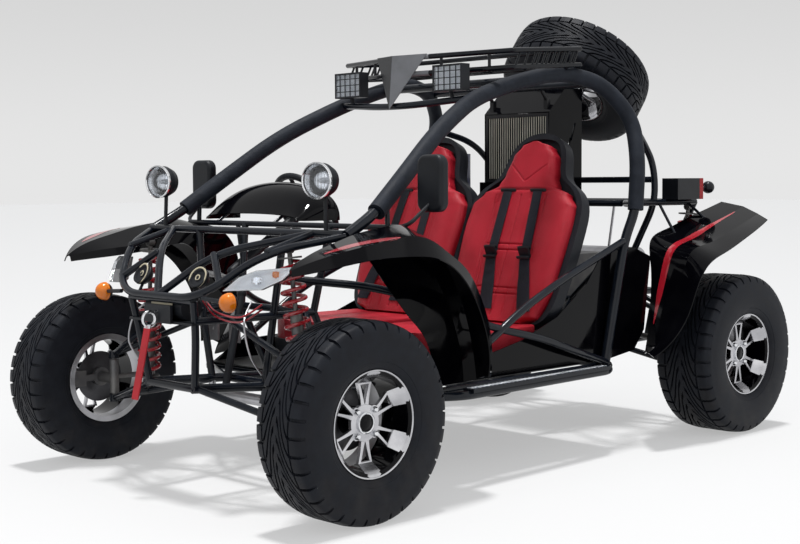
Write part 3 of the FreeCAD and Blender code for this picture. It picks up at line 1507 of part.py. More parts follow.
def engine_cover(core, rear):
    """Black panels behind the seats: the low wall, and the hood round the radiator."""
    top = RADIATOR_LOW_Z - SEAT_GAP
    pieces = [
        box(at(-1650.0, -230.0, 780.0), at(-1644.0, 210.0, top)),
        box(at(-1755.0, -60.0, 900.0), at(-1648.0, 60.0, 906.0)),
    ]
    inner = RADIATOR_WIDTH / 2.0 + SEAT_GAP
    outer = inner + PANEL_THICKNESS
    front_x = RADIATOR_FRONT_X + 2.0
    rear_x = front_x - 218.0
    low_z = RADIATOR_LOW_Z - 50.0
    lid_z = RADIATOR_TOP_Z + SEAT_GAP
    crest_x = front_x - 100.0
    crest_z = lid_z + 100.0
    outline = [
        (front_x, low_z),
        (front_x, lid_z + PANEL_THICKNESS),
        (crest_x, crest_z),
        (rear_x, crest_z + 8.0),
        (rear_x, low_z),
    ]
    slots = []
    for index in range(4):
        x = rear_x + 40.0 + index * 30.0
        z = RADIATOR_TOP_Z - 40.0 - index * 62.0
        corners = [at(x, 0.0, z), at(x + 12.0, 0.0, z), at(x + 40.0, 0.0, z - 74.0), at(x + 28.0, 0.0, z - 74.0)]
        slots.append(outline_solid([corner - FreeCAD.Vector(0, 2.0 * outer, 0) for corner in corners], 4.0 * outer, FreeCAD.Vector(0, 1, 0)))
    for y in (inner, -outer):
        wall = outline_solid([at(x, y, z) for x, z in outline], PANEL_THICKNESS, FreeCAD.Vector(0, 1, 0))
        pieces.append(wall.cut(Part.makeCompound(slots)))
    for start, end in ((outline[1], outline[2]), (outline[2], outline[3])):
        corners = [at(start[0], -outer, start[1]), at(start[0], outer, start[1]), at(end[0], outer, end[1]), at(end[0], -outer, end[1])]
        pieces.append(outline_solid(corners, PANEL_THICKNESS, FreeCAD.Vector(0, 0, -1)))
    return trimmed(joined(pieces), core, rear)


def air_canister(rear):
    can = rod(at(-1800.0, -481.0, 1030.0), at(-1800.0, -481.0, 1180.0), 78.0)
    foot = rod(at(-1800.0, -470.0, 1032.0), at(-1800.0, -452.0, 960.0), 14.0)
    return trimmed(joined([can, foot]), rear)


def spare_axis():
    angle = math.radians(SPARE_TILT)
    return FreeCAD.Vector(math.cos(angle), 0, math.sin(angle))


def pedals(front):
    pieces = []
    for y in (-360.0, -230.0):
        plate = box(at(-290.0, y - 30.0, 460.0), at(-282.0, y + 30.0, 530.0))
        arm = rod(at(-286.0, y, 500.0), at(-300.0, y * 0.95, 600.0), 12.0)
        pieces.append(joined([plate, arm]))
    bar = rod(at(-300.0, -380.0, 600.0), at(-300.0, -200.0, 600.0), 18.0)
    return trimmed(joined(pieces + [bar]), front)


def write(name, shape):
    shape.exportStep(os.path.join("parts", name + ".step"))


def main():
    os.makedirs("parts", exist_ok=True)
    up = FreeCAD.Vector(0, 0, 1)
    left = FreeCAD.Vector(0, 1, 0)
    pieces = {}

    rails = floor_rails()
    cross = floor_frame(rails)
    floor = group([rails, cross])
    front = front_frame(floor)
    front_wings = front_fenders()
    rear_wings = rear_fenders()
    hood = cowl()
    nose = nose_frame(front, front_wings)
    hoop_pair = hoops(floor, nose)
    brace = braces(hoop_pair, front, nose, front_wings, hood)
    rear = rear_frame(hoop_pair, floor, rear_wings)
    rack = roof_rack(hoop_pair, brace)
    doors = door_bars(hoop_pair, floor, front)
    pieces["floor_rails"] = rails
    pieces["floor_frame"] = cross
    pieces["front_frame"] = front
    pieces["nose_frame"] = nose
    pieces["cage_hoops"] = hoop_pair
    pieces["cage_braces"] = brace
    pieces["rear_frame"] = rear
    pieces["roof_rack"] = rack
    pieces["door_bars"] = doors
    pieces["cage_pads"] = hoop_pads(hoop_pair, brace, rack, rear)
    pieces["side_steps"] = side_steps(hoop_pair, floor, doors)
    pan = floor_pan(floor, front, hoop_pair, doors)
    pan_top = FLOOR_Z + FLOOR_TUBE / 2.0 + SEAT_GAP + PAN_THICKNESS
    pieces["floor_pan"] = pan
    pieces["side_panels"] = side_panels(pan_top, rear, hoop_pair, floor)
    pieces["front_fenders"] = trimmed(front_wings, brace, hoop_pair)
    pieces["rear_fenders"] = rear_wings
    pieces["cowl"] = hood
    covers = seat_covers()
    pieces["seat_covers"] = covers
    pieces["seat_shells"] = seat_shells(covers, pan_top)
    pieces["harnesses"] = harnesses(covers)
    fog_shells, fog_lenses = fog_lamp_parts()
    pieces["fog_lamps"] = trimmed(fog_shells, nose)
    roof_boxes, roof_lenses = roof_lamp_parts(brace)
    pieces["roof_lamps"] = roof_boxes
    housings, lenses = headlamp_parts()
    pieces["headlamps"] = trimmed(housings, nose)
    pieces["lamp_lenses"] = group([fog_lenses, roof_lenses, trimmed(lenses, nose)])
    pieces["indicators"] = indicators(nose)
    pieces["tail_lamps"] = tail_lamps(rear)
    pieces["mirrors"] = mirrors(brace, front_wings)
    pieces["winch"] = winch(front)
    pieces["winch_hook"] = winch_hook(pieces["winch"])
    pieces["horns"] = horns(front)

    arms = front_arms(floor, front)
    pieces["front_arms"] = arms
    housing = steering_rack(floor, front)
    pieces["steering_rack"] = housing
    pieces["steering_column"] = steering_column(front, housing, brace)
    pieces["steering_wheel"] = steering_wheel()
    pieces["tie_rods"] = tie_rods()
    pieces["knuckle_left"] = knuckle()
    pieces["knuckle_right"] = mirrored(knuckle())

    rear_links = rear_arms(floor, rear)
    pieces["rear_arms"] = rear_links
    pieces["drive_line"] = drive_line(rear_links, floor, rear)
    pieces["dampers"] = dampers(arms, nose, rear_links, rear)
    pieces["springs"] = springs()
    motor = engine(rear, floor)
    pieces["engine"] = motor
    pieces["exhaust"] = exhaust(rear, motor)
    core = radiator(brace)
    pieces["radiator"] = core
    pieces["engine_cover"] = engine_cover(core, rear)
    pieces["air_canister"] = air_canister(rear)
    pieces["pedals"] = pedals(front)

    for side, name in ((1.0, "left"), (-1.0, "right")):
        outward = left * side
        centre = at(0.0, side * FRONT_WHEEL_Y, FRONT_TYRE_RADIUS)
        pieces["tyre_front_" + name] = tyre(centre, outward, FRONT_TYRE_RADIUS, FRONT_TYRE_WIDTH)
        pieces["rim_front_" + name] = rim(centre, outward, FRONT_TYRE_WIDTH)
        centre = at(REAR_AXLE, side * REAR_WHEEL_Y, REAR_TYRE_RADIUS)
        pieces["tyre_rear_" + name] = tyre(centre, outward, REAR_TYRE_RADIUS, REAR_TYRE_WIDTH)
        pieces["rim_rear_" + name] = rim(centre, outward, REAR_TYRE_WIDTH)

    centre = at(SPARE_X, 0.0, SPARE_Z)
    axis = spare_axis() * -1.0
    pieces["spare_tyre"] = tyre(centre, axis, FRONT_TYRE_RADIUS, FRONT_TYRE_WIDTH)
    pieces["spare_rim"] = rim(centre, axis, FRONT_TYRE_WIDTH)

    for name, shape in pieces.items():
        write(name, shape)


main()
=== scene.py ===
"""Looks of a two-seat dune buggy: finishes for its CAD nodes, and its soft and fine pieces."""

import logging
import math
from dataclasses import dataclass, field
from enum import Enum
from typing import Callable, Iterable, Sequence

import bpy
from mathutils import Matrix, Vector


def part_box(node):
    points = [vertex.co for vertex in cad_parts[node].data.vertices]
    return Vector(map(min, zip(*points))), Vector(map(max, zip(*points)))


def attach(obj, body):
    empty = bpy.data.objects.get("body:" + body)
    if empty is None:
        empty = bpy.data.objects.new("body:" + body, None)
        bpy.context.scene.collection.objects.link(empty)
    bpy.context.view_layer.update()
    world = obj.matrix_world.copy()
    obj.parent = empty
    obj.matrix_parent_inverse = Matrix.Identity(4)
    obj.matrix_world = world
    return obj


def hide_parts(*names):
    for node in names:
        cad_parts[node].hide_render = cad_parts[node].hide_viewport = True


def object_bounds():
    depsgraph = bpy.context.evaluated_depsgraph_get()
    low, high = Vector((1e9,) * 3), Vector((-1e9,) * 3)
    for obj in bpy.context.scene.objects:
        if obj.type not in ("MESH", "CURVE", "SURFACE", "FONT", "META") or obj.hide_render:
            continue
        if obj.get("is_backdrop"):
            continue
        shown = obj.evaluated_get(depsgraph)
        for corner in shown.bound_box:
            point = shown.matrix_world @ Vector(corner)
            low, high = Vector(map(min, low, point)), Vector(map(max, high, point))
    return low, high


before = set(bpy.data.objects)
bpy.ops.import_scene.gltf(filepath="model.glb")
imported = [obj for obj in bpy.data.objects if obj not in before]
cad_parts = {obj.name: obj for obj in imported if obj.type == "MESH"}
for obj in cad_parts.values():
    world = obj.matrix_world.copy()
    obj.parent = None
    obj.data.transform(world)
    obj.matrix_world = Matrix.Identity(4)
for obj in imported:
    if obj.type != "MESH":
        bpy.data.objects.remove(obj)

LOG = logging.getLogger("buggy")
Triple = tuple[float, float, float]
Colour = Triple
Profile = Sequence[tuple[float, float]]
Points = Sequence[Vector]
Socket = bpy.types.NodeSocket
Tree = bpy.types.ShaderNodeTree
CHASSIS = "chassis"
UP = Vector((0.0, 0.0, 1.0))
LEFT = Vector((0.0, 1.0, 0.0))
AHEAD = Vector((1.0, 0.0, 0.0))


def node_centre(node: str) -> Vector:
    """Return the middle of a CAD node's box.

    Args:
        node: The CAD node's name.

    Returns:
        The centre point, in metres.
    """
    low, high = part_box(node)
    return (low + high) / 2.0


FRONT_AXLE_X = node_centre("tyre_front_left").x


def at(x: float, y: float, z: float) -> Vector:
    """Return a point from its distance ahead of the front axle."""
    return Vector((FRONT_AXLE_X + x, y, z))


class Side(Enum):
    """Left or right of the vehicle, as the sign of Y."""

    LEFT = 1.0
    RIGHT = -1.0

    @property
    def label(self) -> str:
        """Return the side's word in the names of pieces."""
        return self.name.lower()

    def at(self, x: float, y: float, z: float) -> Vector:
        """Return a point by its distance ahead of the front axle, out to this side, and up."""
        return at(x, self.value * y, z)


def around(first: Vector, second: Vector, angle: float) -> Vector:
    """Return the direction at an angle from one unit vector towards another."""
    return first * math.cos(angle) + second * math.sin(angle)


# Meshes


def add_mesh(
    name: str,
    points: Points,
    faces: Sequence[Sequence[int]],
    sharp_angle: float = 35.0,
) -> bpy.types.Object:
    """Make a smooth-shaded mesh object.

    Args:
        name: The object's name.
        points: The vertices, in metres.
        faces: Lists of vertex indices.
        sharp_angle: Edges that turn more than this many degrees stay sharp.

    Returns:
        The new object.
    """
    mesh = bpy.data.meshes.new(name)
    mesh.from_pydata([tuple(p) for p in points], [], [list(f) for f in faces])
    mesh.update()
    mesh.polygons.foreach_set("use_smooth", [True] * len(mesh.polygons))
    mesh.set_sharp_from_angle(angle=math.radians(sharp_angle))
    piece = bpy.data.objects.new(name, mesh)
    bpy.context.scene.collection.objects.link(piece)
    return piece


@dataclass
class Mould:
    """Vertices and faces that grow into one mesh."""

    points: list[Vector] = field(default_factory=list)
    faces: list[tuple[int, ...]] = field(default_factory=list)

    def grid(self, rows: Sequence[Points], close_rows: bool = False, close_columns: bool = False) -> None:
        """Add a sheet of quads through rows of points.

        Args:
            rows: Rows of equally many points.
            close_rows: Whether the last row joins the first one.
            close_columns: Whether each row's end joins its start.
        """
        base = len(self.points)
        count = len(rows)
        width = len(rows[0])
        for row in rows:
            self.points.extend(row)
        for i in range(count if close_rows else count - 1):
            for j in range(width if close_columns else width - 1):
                below = base + i * width
                above = base + ((i + 1) % count) * width
                beside = (j + 1) % width
                self.faces.append((below + j, below + beside, above + beside, above + j))

    def cap(self, ring: Points, turned: bool = False) -> None:
        """Close a hole with one face over its ring of points."""
        base = len(self.points)
        self.points.extend(ring)
        order = range(base, base + len(ring))
        self.faces.append(tuple(reversed(order)) if turned else tuple(order))

    def solid(self, rows: Sequence[Points]) -> None:
        """Add a closed form through rings of points, with a cap on both ends."""
        self.grid(rows, close_columns=True)
        self.cap(rows[0], turned=True)
        self.cap(rows[-1])

    def lathe(self, profile: Profile, centre: Vector, axis: Vector, steps: int = 48) -> None:
        """Turn a profile about an axis.

        Args:
            profile: Pairs of distance along the axis and radius.
            centre: Where distance zero lies.
            axis: The way that distances count.
            steps: How many steps make a full turn.
        """
        axis = axis.normalized()
        side = axis.orthogonal().normalized()
        other = axis.cross(side)
        rows = []
        for along, radius in profile:
            row = []
            for step in range(steps):
                out = around(side, other, math.tau * step / steps)
                row.append(centre + axis * along + out * radius)
            rows.append(row)
        self.grid(rows, close_columns=True)

    def bar(self, path: Points, radius: float, sides: int = 10) -> None:
        """Sweep a round bar along a path, with closed ends.

        Args:
            path: Points of the centre line.
            radius: The bar's radius.
            sides: How many sides its section has.
        """
        direction = (path[1] - path[0]).normalized()
        across = direction.orthogonal().normalized()
        rows = []
        for index, point in enumerate(path):
            before = path[max(index - 1, 0)]
            after = path[min(index + 1, len(path) - 1)]
            direction = (after - before).normalized()
            across = (across - direction * across.dot(direction)).normalized()
            other = direction.cross(across)
            angles = [math.tau * step / sides for step in range(sides)]
            rows.append([point + around(across, other, angle) * radius for angle in angles])
        self.solid(rows)

    def block(self, centre: Vector, half: Vector, turn: Matrix, bevel: float) -> None:
        """Add a box whose edges are cut back.

        Args:
            centre: The box's middle.
            half: Half its size along its own axes.
            turn: The rotation from its own axes.
            bevel: How far its edges are cut back.
        """
        outline = []
        for sx, sy, order in ((1, 1, 1), (-1, 1, 0), (-1, -1, 1), (1, -1, 0)):
            one = (sx * (half.x - bevel), sy * half.y)
            two = (sx * half.x, sy * (half.y - bevel))
            outline.extend((two, one) if order else (one, two))
        rows = []
        flat = half.z - bevel
        for height, inset in ((-half.z, bevel), (-flat, 0.0), (flat, 0.0), (half.z, bevel)):
            row = []
            for x, y in outline:
                shrink_x = x - math.copysign(inset, x)
                shrink_y = y - math.copysign(inset, y)
                row.append(centre + turn @ Vector((shrink_x, shrink_y, height)))
            rows.append(row)
        self.solid(rows)

    def finish(self, name: str, look: "Finish", body: str = CHASSIS, sharp: float = 35.0) -> bpy.types.Object:
        """Turn the mould into a dressed piece that rides on a body.

        Args:
            name: The piece's name.
            look: Its finish.
            body: The CAD body that carries it.
            sharp: The sharp-edge angle in degrees.

        Returns:
            The new object.
        """
        piece = add_mesh(name, self.points, self.faces, sharp)
        piece.data.materials.append(Finishes.get(look))
        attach(piece, body)
        LOG.info("piece %s: %d faces on %s", name, len(self.faces), body)
        return piece


def smooth_line(points: Points, steps: int = 6) -> list[Vector]:
    """Return a curve through points.

    Args:
        points: The points that it passes.
        steps: How many pieces each span is cut into.

    Returns:
        Points along a Catmull-Rom curve.
    """
    line = []
    last = len(points) - 1
    for index in range(last):
        a = points[max(index - 1, 0)]
        b = points[index]
        c = points[index + 1]
        d = points[min(index + 2, last)]
        for step in range(steps):
            t = step / steps
            line.append(
                0.5
                * (2 * b + (c - a) * t + (2 * a - 5 * b + 4 * c - d) * t**2 + (3 * b - a - 3 * c + d) * t**3)
            )
    line.append(points[last])
    return line


# Shader groups


@dataclass
class Wiring:
    """Short calls that add and join the nodes of one tree."""

    tree: bpy.types.NodeTree

    def node(self, kind: str, **settings: object) -> bpy.types.Node:
        """Add a node and set its properties."""
        node = self.tree.nodes.new(kind)
        for key, value in settings.items():
            setattr(node, key, value)
        return node

    def feed(self, node: bpy.types.Node, **values: object) -> bpy.types.Node:
        """Set or link a node's inputs, with underscores for spaces.

        Args:
            node: The node to feed.
            **values: Numbers, vectors or output sockets by input name.

        Returns:
            The same node.
        """
        for key, value in values.items():
            socket = node.inputs[key.replace("_", " ")]
            if isinstance(value, Socket):
                self.tree.links.new(value, socket)
            else:
                socket.default_value = value
        return node

    def math(self, operation: str, first: object, second: object = 0.0) -> Socket:
        """Add a math node and return its output."""
        node = self.node("ShaderNodeMath", operation=operation)
        for socket, value in zip(node.inputs, (first, second)):
            if isinstance(value, Socket):
                self.tree.links.new(value, socket)
            else:
                socket.default_value = value
        return node.outputs[0]

    def ramp(self, value: Socket, low: float, high: float, start: float = 0.0, end: float = 1.0) -> Socket:
        """Map a value from low..high to start..end, clamped and smooth."""
        node = self.node("ShaderNodeMapRange", interpolation_type="SMOOTHSTEP")
        self.tree.links.new(value, node.inputs[0])
        for socket, number in zip(list(node.inputs)[1:5], (low, high, start, end)):
            socket.default_value = number
        return node.outputs[0]

    def mix(self, mask: object, first: object, second: object) -> Socket:
        """Blend two colours by a mask and return the colour."""
        node = self.node("ShaderNodeMix", data_type="RGBA")
        for index, value in ((0, mask), (6, first), (7, second)):
            socket = node.inputs[index]
            if isinstance(value, Socket):
                self.tree.links.new(value, socket)
            elif index == 0:
                socket.default_value = value
            else:
                socket.default_value = (*value, 1.0)
        return node.outputs[2]

    def noise(self, place: Socket, scale: object, detail: float) -> Socket:
        """Add a noise texture and return its value."""
        node = self.feed(self.node("ShaderNodeTexNoise"), Vector=place, Scale=scale, Detail=detail)
        return node.outputs[0]

    def camera_mask(self) -> Socket:
        """Return a mask of what the camera sees, also as a reflection or through glass."""
        path = self.node("ShaderNodeLightPath")
        seen = self.math("MAXIMUM", path.outputs["Is Camera Ray"], path.outputs["Is Glossy Ray"])
        return self.math("MAXIMUM", seen, path.outputs["Is Transmission Ray"])


def new_group(
    name: str, numbers: Iterable[str], outputs: Iterable[str]
) -> tuple[Wiring, bpy.types.Node, bpy.types.Node]:
    """Make an empty shader group with a Vector input and named sockets.

    Args:
        name: The group's name.
        numbers: Names of its number inputs.
        outputs: Names of its number outputs.

    Returns:
        Its wiring, its input node and its output node.
    """
    group = bpy.data.node_groups.new(name, "ShaderNodeTree")
    group.interface.new_socket("Vector", in_out="INPUT", socket_type="NodeSocketVector")
    for label in numbers:
        group.interface.new_socket(label, in_out="INPUT", socket_type="NodeSocketFloat")
    for label in outputs:
        group.interface.new_socket(label, in_out="OUTPUT", socket_type="NodeSocketFloat")
    return Wiring(group), group.nodes.new("NodeGroupInput"), group.nodes.new("NodeGroupOutput")


class Groups:
    """The shader groups that several finishes share, each built once."""

    made: dict[str, Tree] = {}

    @classmethod
    def get(cls, builder: Callable[[str], Tree]) -> Tree:
        """Return the group of a builder, made on its first use and named after it."""
        name = builder.__name__
        if name not in cls.made:
            cls.made[name] = builder(name)
        return cls.made[name]

    @staticmethod
    def grain(name: str) -> Tree:
        """Fine grain: a height and a slow colour mask."""
        wires, source, sink = new_group(name, ("Scale",), ("Height", "Mask"))
        place = source.outputs["Vector"]
        scale = source.outputs["Scale"]
        slow = wires.noise(place, wires.math("MULTIPLY", scale, 0.03), 4.0)
        wires.feed(sink, Height=wires.noise(place, scale, 3.0), Mask=wires.ramp(slow, 0.35, 0.68))
        return wires.tree

    @staticmethod
    def hide_grain(name: str) -> Tree:
        """Pebbled hide: cell edges as a height, and a soft colour mask."""
        wires, source, sink = new_group(name, ("Scale",), ("Height", "Mask"))
        place = source.outputs["Vector"]
        cells = wires.node("ShaderNodeTexVoronoi", feature="DISTANCE_TO_EDGE")
        wires.feed(cells, Vector=place, Scale=source.outputs["Scale"])
        mask = wires.ramp(wires.noise(place, 9.0, 5.0), 0.3, 0.7)
        wires.feed(sink, Height=wires.ramp(cells.outputs["Distance"], 0.0, 0.3), Mask=mask)
        return wires.tree

    @staticmethod
    def dust(name: str) -> Tree:
        """Road dust that thins out with height."""
        wires, source, sink = new_group(name, ("Top",), ("Mask",))
        place = source.outputs["Vector"]
        split = wires.feed(wires.node("ShaderNodeSeparateXYZ"), Vector=place)
        share = wires.math("DIVIDE", split.outputs["Z"], source.outputs["Top"])
        low = wires.ramp(share, 0.0, 1.0, 1.0, 0.0)
        patchy = wires.ramp(wires.noise(place, 11.0, 8.0), 0.4, 0.75)
        wires.feed(sink, Mask=wires.math("MULTIPLY", low, patchy))
        return wires.tree

    @staticmethod
    def weave(name: str) -> Tree:
        """Crossing threads as a height."""
        wires, source, sink = new_group(name, ("Scale",), ("Height",))
        heights = []
        for direction in ("Y", "Z"):
            wave = wires.node("ShaderNodeTexWave", bands_direction=direction)
            wires.feed(wave, Vector=source.outputs["Vector"], Scale=source.outputs["Scale"])
            heights.append(wave.outputs["Fac"])
        wires.feed(sink, Height=wires.math("MAXIMUM", heights[0], heights[1]))
        return wires.tree


# Finishes


class Shader(Wiring):
    """A material with one Principled surface and its object coordinates."""

    def __init__(self, name: str) -> None:
        """Make the material.

        Args:
            name: The material's name.
        """
        self.material = bpy.data.materials.new(name)
        self.material.use_nodes = True
        super().__init__(self.material.node_tree)
        self.surface = self.tree.nodes["Principled BSDF"]
        self.place = self.node("ShaderNodeTexCoord").outputs["Object"]

    def group(self, tree: Tree, **values: object) -> bpy.types.Node:
        """Place a shared group at the object's coordinates."""
        node = self.node("ShaderNodeGroup", node_tree=tree)
        return self.feed(node, Vector=self.place, **values)

    def bump(self, height: Socket, depth: float, under: Socket | None = None) -> Socket:
        """Turn a height into a normal.

        Args:
            height: The height from 0 to 1.
            depth: What a height of 1 is, in metres.
            under: A normal that this bump lies on.

        Returns:
            The normal's socket.
        """
        node = self.node("ShaderNodeBump")
        self.feed(node, Height=height, Distance=depth, Strength=1.0)
        if under is not None:
            self.feed(node, Normal=under)
        return node.outputs[0]


DUST_COLOUR: Colour = (0.33, 0.29, 0.24)
DUST_ROUGHNESS = 0.4
GRAIN_ROUGHNESS = 0.06
COAT_ROUGHNESS = 0.04


@dataclass(frozen=True)
class Finish:
    """A surface finish: two colours, gloss, grain and dust."""

    name: str
    color: Colour
    other: Colour
    roughness: float
    metallic: float = 0.0
    coat: float = 0.0
    grain_scale: float = 400.0
    grain_depth: float = 0.0001
    dust: float = 0.0
    dust_top: float = 0.5
    specular: float = 0.5

    def build(self) -> bpy.types.Material:
        """Return the material."""
        shader = Shader(self.name)
        grain = shader.group(self.grain_group(), Scale=self.grain_scale)
        colour = shader.mix(grain.outputs["Mask"], self.color, self.other)
        dull = self.roughness + GRAIN_ROUGHNESS
        rough = shader.ramp(grain.outputs["Mask"], 0.0, 1.0, self.roughness, dull)
        if self.dust > 0.0:
            dusty = shader.group(Groups.get(Groups.dust), Top=self.dust_top)
            mask = shader.math("MULTIPLY", dusty.outputs["Mask"], self.dust)
            colour = shader.mix(mask, colour, DUST_COLOUR)
            rough = shader.math("ADD", rough, shader.math("MULTIPLY", mask, DUST_ROUGHNESS))
        normal = self.relief(shader, grain.outputs["Height"])
        shader.feed(shader.surface, Base_Color=colour, Roughness=rough, Normal=normal)
        shader.feed(
            shader.surface,
            Metallic=self.metallic,
            Coat_Weight=self.coat,
            Coat_Roughness=COAT_ROUGHNESS,
            Specular_IOR_Level=self.specular,
        )
        return shader.material

    def grain_group(self) -> Tree:
        """Return the group that gives the grain."""
        return Groups.get(Groups.grain)

    def relief(self, shader: Shader, height: Socket) -> Socket:
        """Return the normal that the grain gives."""
        return shader.bump(height, self.grain_depth)


@dataclass(frozen=True)
class HideFinish(Finish):
    """Seat hide with a pebbled grain."""

    def grain_group(self) -> Tree:
        """Return the pebbled grain."""
        return Groups.get(Groups.hide_grain)


@dataclass(frozen=True)
class WovenFinish(Finish):
    """Belt webbing with crossing threads."""

    thread_scale: float = 220.0
    thread_depth: float = 0.0006

    def relief(self, shader: Shader, height: Socket) -> Socket:
        """Return threads over the grain."""
        threads = shader.group(Groups.get(Groups.weave), Scale=self.thread_scale)
        under = shader.bump(height, self.grain_depth)
        return shader.bump(threads.outputs["Height"], self.thread_depth, under)


@dataclass(frozen=True)
class FoamFinish(Finish):
    """A foam sleeve with soft dents."""

    dent_scale: float = 28.0
    dent_depth: float = 0.003

    def relief(self, shader: Shader, height: Socket) -> Socket:
        """Return dents under the fine grain."""
        dents = shader.noise(shader.place, self.dent_scale, 3.0)
        return shader.bump(height, self.grain_depth, shader.bump(dents, self.dent_depth))


@dataclass(frozen=True)
class InlaidFinish(Finish):
    """One finish with a box-shaped part of the piece in another colour: a real inlay on most pieces, painted
    light on the roof rack.
    """

    middle: Triple = (0.0, 0.0, 0.0)
    half: Triple = (1.0, 1.0, 1.0)
    inlay: Colour = (0.5, 0.5, 0.5)
    inlay_metal: float = 0.0
    inlay_rough: float = 0.4

    def build(self) -> bpy.types.Material:
        """Return the material, with the second colour inside its box."""
        shader = Shader(self.name)
        grain = shader.group(self.grain_group(), Scale=self.grain_scale)
        away = shader.node("ShaderNodeVectorMath", operation="SUBTRACT")
        shader.tree.links.new(shader.place, away.inputs[0])
        away.inputs[1].default_value = tuple(at(*self.middle))
        size = shader.node("ShaderNodeVectorMath", operation="ABSOLUTE")
        shader.tree.links.new(away.outputs[0], size.inputs[0])
        split = shader.feed(shader.node("ShaderNodeSeparateXYZ"), Vector=size.outputs[0])
        inside = shader.math("LESS_THAN", split.outputs["X"], self.half[0])
        for axis, reach in (("Y", self.half[1]), ("Z", self.half[2])):
            inside = shader.math("MULTIPLY", inside, shader.math("LESS_THAN", split.outputs[axis], reach))
        outside = shader.mix(grain.outputs["Mask"], self.color, self.other)
        within = shader.mix(grain.outputs["Mask"], self.inlay, tuple(0.8 * c for c in self.inlay))
        colour = shader.mix(inside, outside, within)
        rough = shader.ramp(inside, 0.0, 1.0, self.roughness, self.inlay_rough)
        metal = shader.ramp(inside, 0.0, 1.0, self.metallic, self.inlay_metal)
        normal = self.relief(shader, grain.outputs["Height"])
        shader.feed(shader.surface, Base_Color=colour, Roughness=rough, Metallic=metal, Normal=normal)
        shader.feed(shader.surface, Specular_IOR_Level=self.specular)
        return shader.material


@dataclass(frozen=True)
class PlateFinish(Finish):
    """Raised ribs on a sheet of metal."""

    rib_scale: float = 42.0
    rib_depth: float = 0.0012

    def relief(self, shader: Shader, height: Socket) -> Socket:
        """Return crossing ribs over the grain."""
        wave = shader.node("ShaderNodeTexWave", bands_direction="DIAGONAL")
        shader.feed(wave, Vector=shader.place, Scale=self.rib_scale)
        ribs = shader.ramp(wave.outputs["Fac"], 0.6, 0.9)
        return shader.bump(ribs, self.rib_depth, shader.bump(height, self.grain_depth))


@dataclass(frozen=True)
class GlassFinish(Finish):
    """Clear or tinted lamp glass with moulded ribs."""

    rib_scale: float = 60.0
    rib_depth: float = 0.0006

    def build(self) -> bpy.types.Material:
        """Return the glass."""
        shader = Shader(self.name)
        grain = shader.group(self.grain_group(), Scale=self.grain_scale)
        wave = shader.node("ShaderNodeTexWave", bands_direction="Y")
        shader.feed(wave, Vector=shader.place, Scale=self.rib_scale)
        normal = shader.bump(wave.outputs["Fac"], self.rib_depth)
        colour = shader.mix(grain.outputs["Mask"], self.color, self.other)
        rough = shader.ramp(grain.outputs["Mask"], 0.0, 1.0, self.roughness, self.roughness + 0.03)
        shader.feed(shader.surface, Base_Color=colour, Roughness=rough, Normal=normal)
        shader.feed(shader.surface, Transmission_Weight=1.0, IOR=1.45)
        return shader.material


FRAME_PAINT = Finish(
    "frame_paint", (0.005, 0.007, 0.012), (0.007, 0.010, 0.016), 0.17, specular=0.27, grain_depth=0.00003
)
BODY_PAINT = Finish(
    "body_paint", (0.001, 0.001, 0.002), (0.002, 0.002, 0.003), 0.04, specular=0.13, grain_depth=0.00001
)
SATIN_PLASTIC = Finish(
    "satin_plastic", (0.008, 0.009, 0.012), (0.012, 0.014, 0.018), 0.42, specular=0.25, grain_depth=0.0002
)
FOAM = FoamFinish(
    "foam_sleeve", (0.011, 0.014, 0.021), (0.018, 0.022, 0.031), 0.60, specular=0.2, grain_scale=700.0
)
RED_HIDE = HideFinish(
    "red_hide",
    (0.47, 0.014, 0.030),
    (0.38, 0.009, 0.020),
    0.40,
    specular=0.25,
    grain_scale=520.0,
    grain_depth=0.00025,
)
BLACK_HIDE = HideFinish(
    "black_hide", (0.007, 0.008, 0.012), (0.011, 0.013, 0.018), 0.45, specular=0.25, grain_scale=520.0
)
WEBBING = WovenFinish("belt_webbing", (0.006, 0.007, 0.013), (0.010, 0.011, 0.020), 0.62, specular=0.25)
TYRE_RUBBER = Finish(
    "tyre_rubber",
    (0.006, 0.007, 0.011),
    (0.010, 0.012, 0.017),
    0.50,
    specular=0.18,
    grain_scale=900.0,
    grain_depth=0.0003,
    dust=0.05,
)
RED_SPRING = Finish("red_spring", (0.47, 0.010, 0.022), (0.38, 0.008, 0.016), 0.24, coat=0.7)
STEEL = Finish("steel", (0.42, 0.42, 0.44), (0.34, 0.34, 0.35), 0.30, metallic=1.0, grain_depth=0.0001)
DARK_STEEL = Finish(
    "dark_steel", (0.10, 0.10, 0.105), (0.15, 0.145, 0.14), 0.42, metallic=0.8, grain_depth=0.0002
)
# Painted shade: the brake disc's steel is darkened far below its own tone, standing in for the shade behind
# the spokes.
DISC_STEEL_PAINTED_SHADE = Finish(
    "disc_steel", (0.085, 0.085, 0.09), (0.055, 0.055, 0.06), 0.36, metallic=1.0, grain_depth=0.0001
)
CHROME = Finish("chrome", (0.72, 0.73, 0.75), (0.66, 0.67, 0.69), 0.08, metallic=1.0, grain_depth=0.00002)
CAST_METAL = Finish(
    "cast_metal", (0.13, 0.13, 0.135), (0.20, 0.195, 0.19), 0.55, metallic=0.7, grain_depth=0.0005, dust=0.2
)
LENS = GlassFinish("clear_lens", (0.95, 0.97, 1.0), (0.90, 0.93, 0.97), 0.02, rib_depth=0.0003)
SHEET = PlateFinish("floor_sheet", (0.060, 0.062, 0.066), (0.10, 0.10, 0.10), 0.36, metallic=0.8, dust=0.35)
BLUE_CAN = Finish("blue_can", (0.016, 0.024, 0.12), (0.012, 0.018, 0.08), 0.25, coat=0.5)
FINS = InlaidFinish(
    "radiator_fins",
    (0.006, 0.006, 0.008),
    (0.009, 0.009, 0.011),
    0.35,
    specular=0.35,
    middle=(-1.627, 0.0, 1.194),
    half=(0.0025, 0.1615, 0.1295),
    inlay=(0.80, 0.76, 0.66),
    inlay_rough=0.5,
)
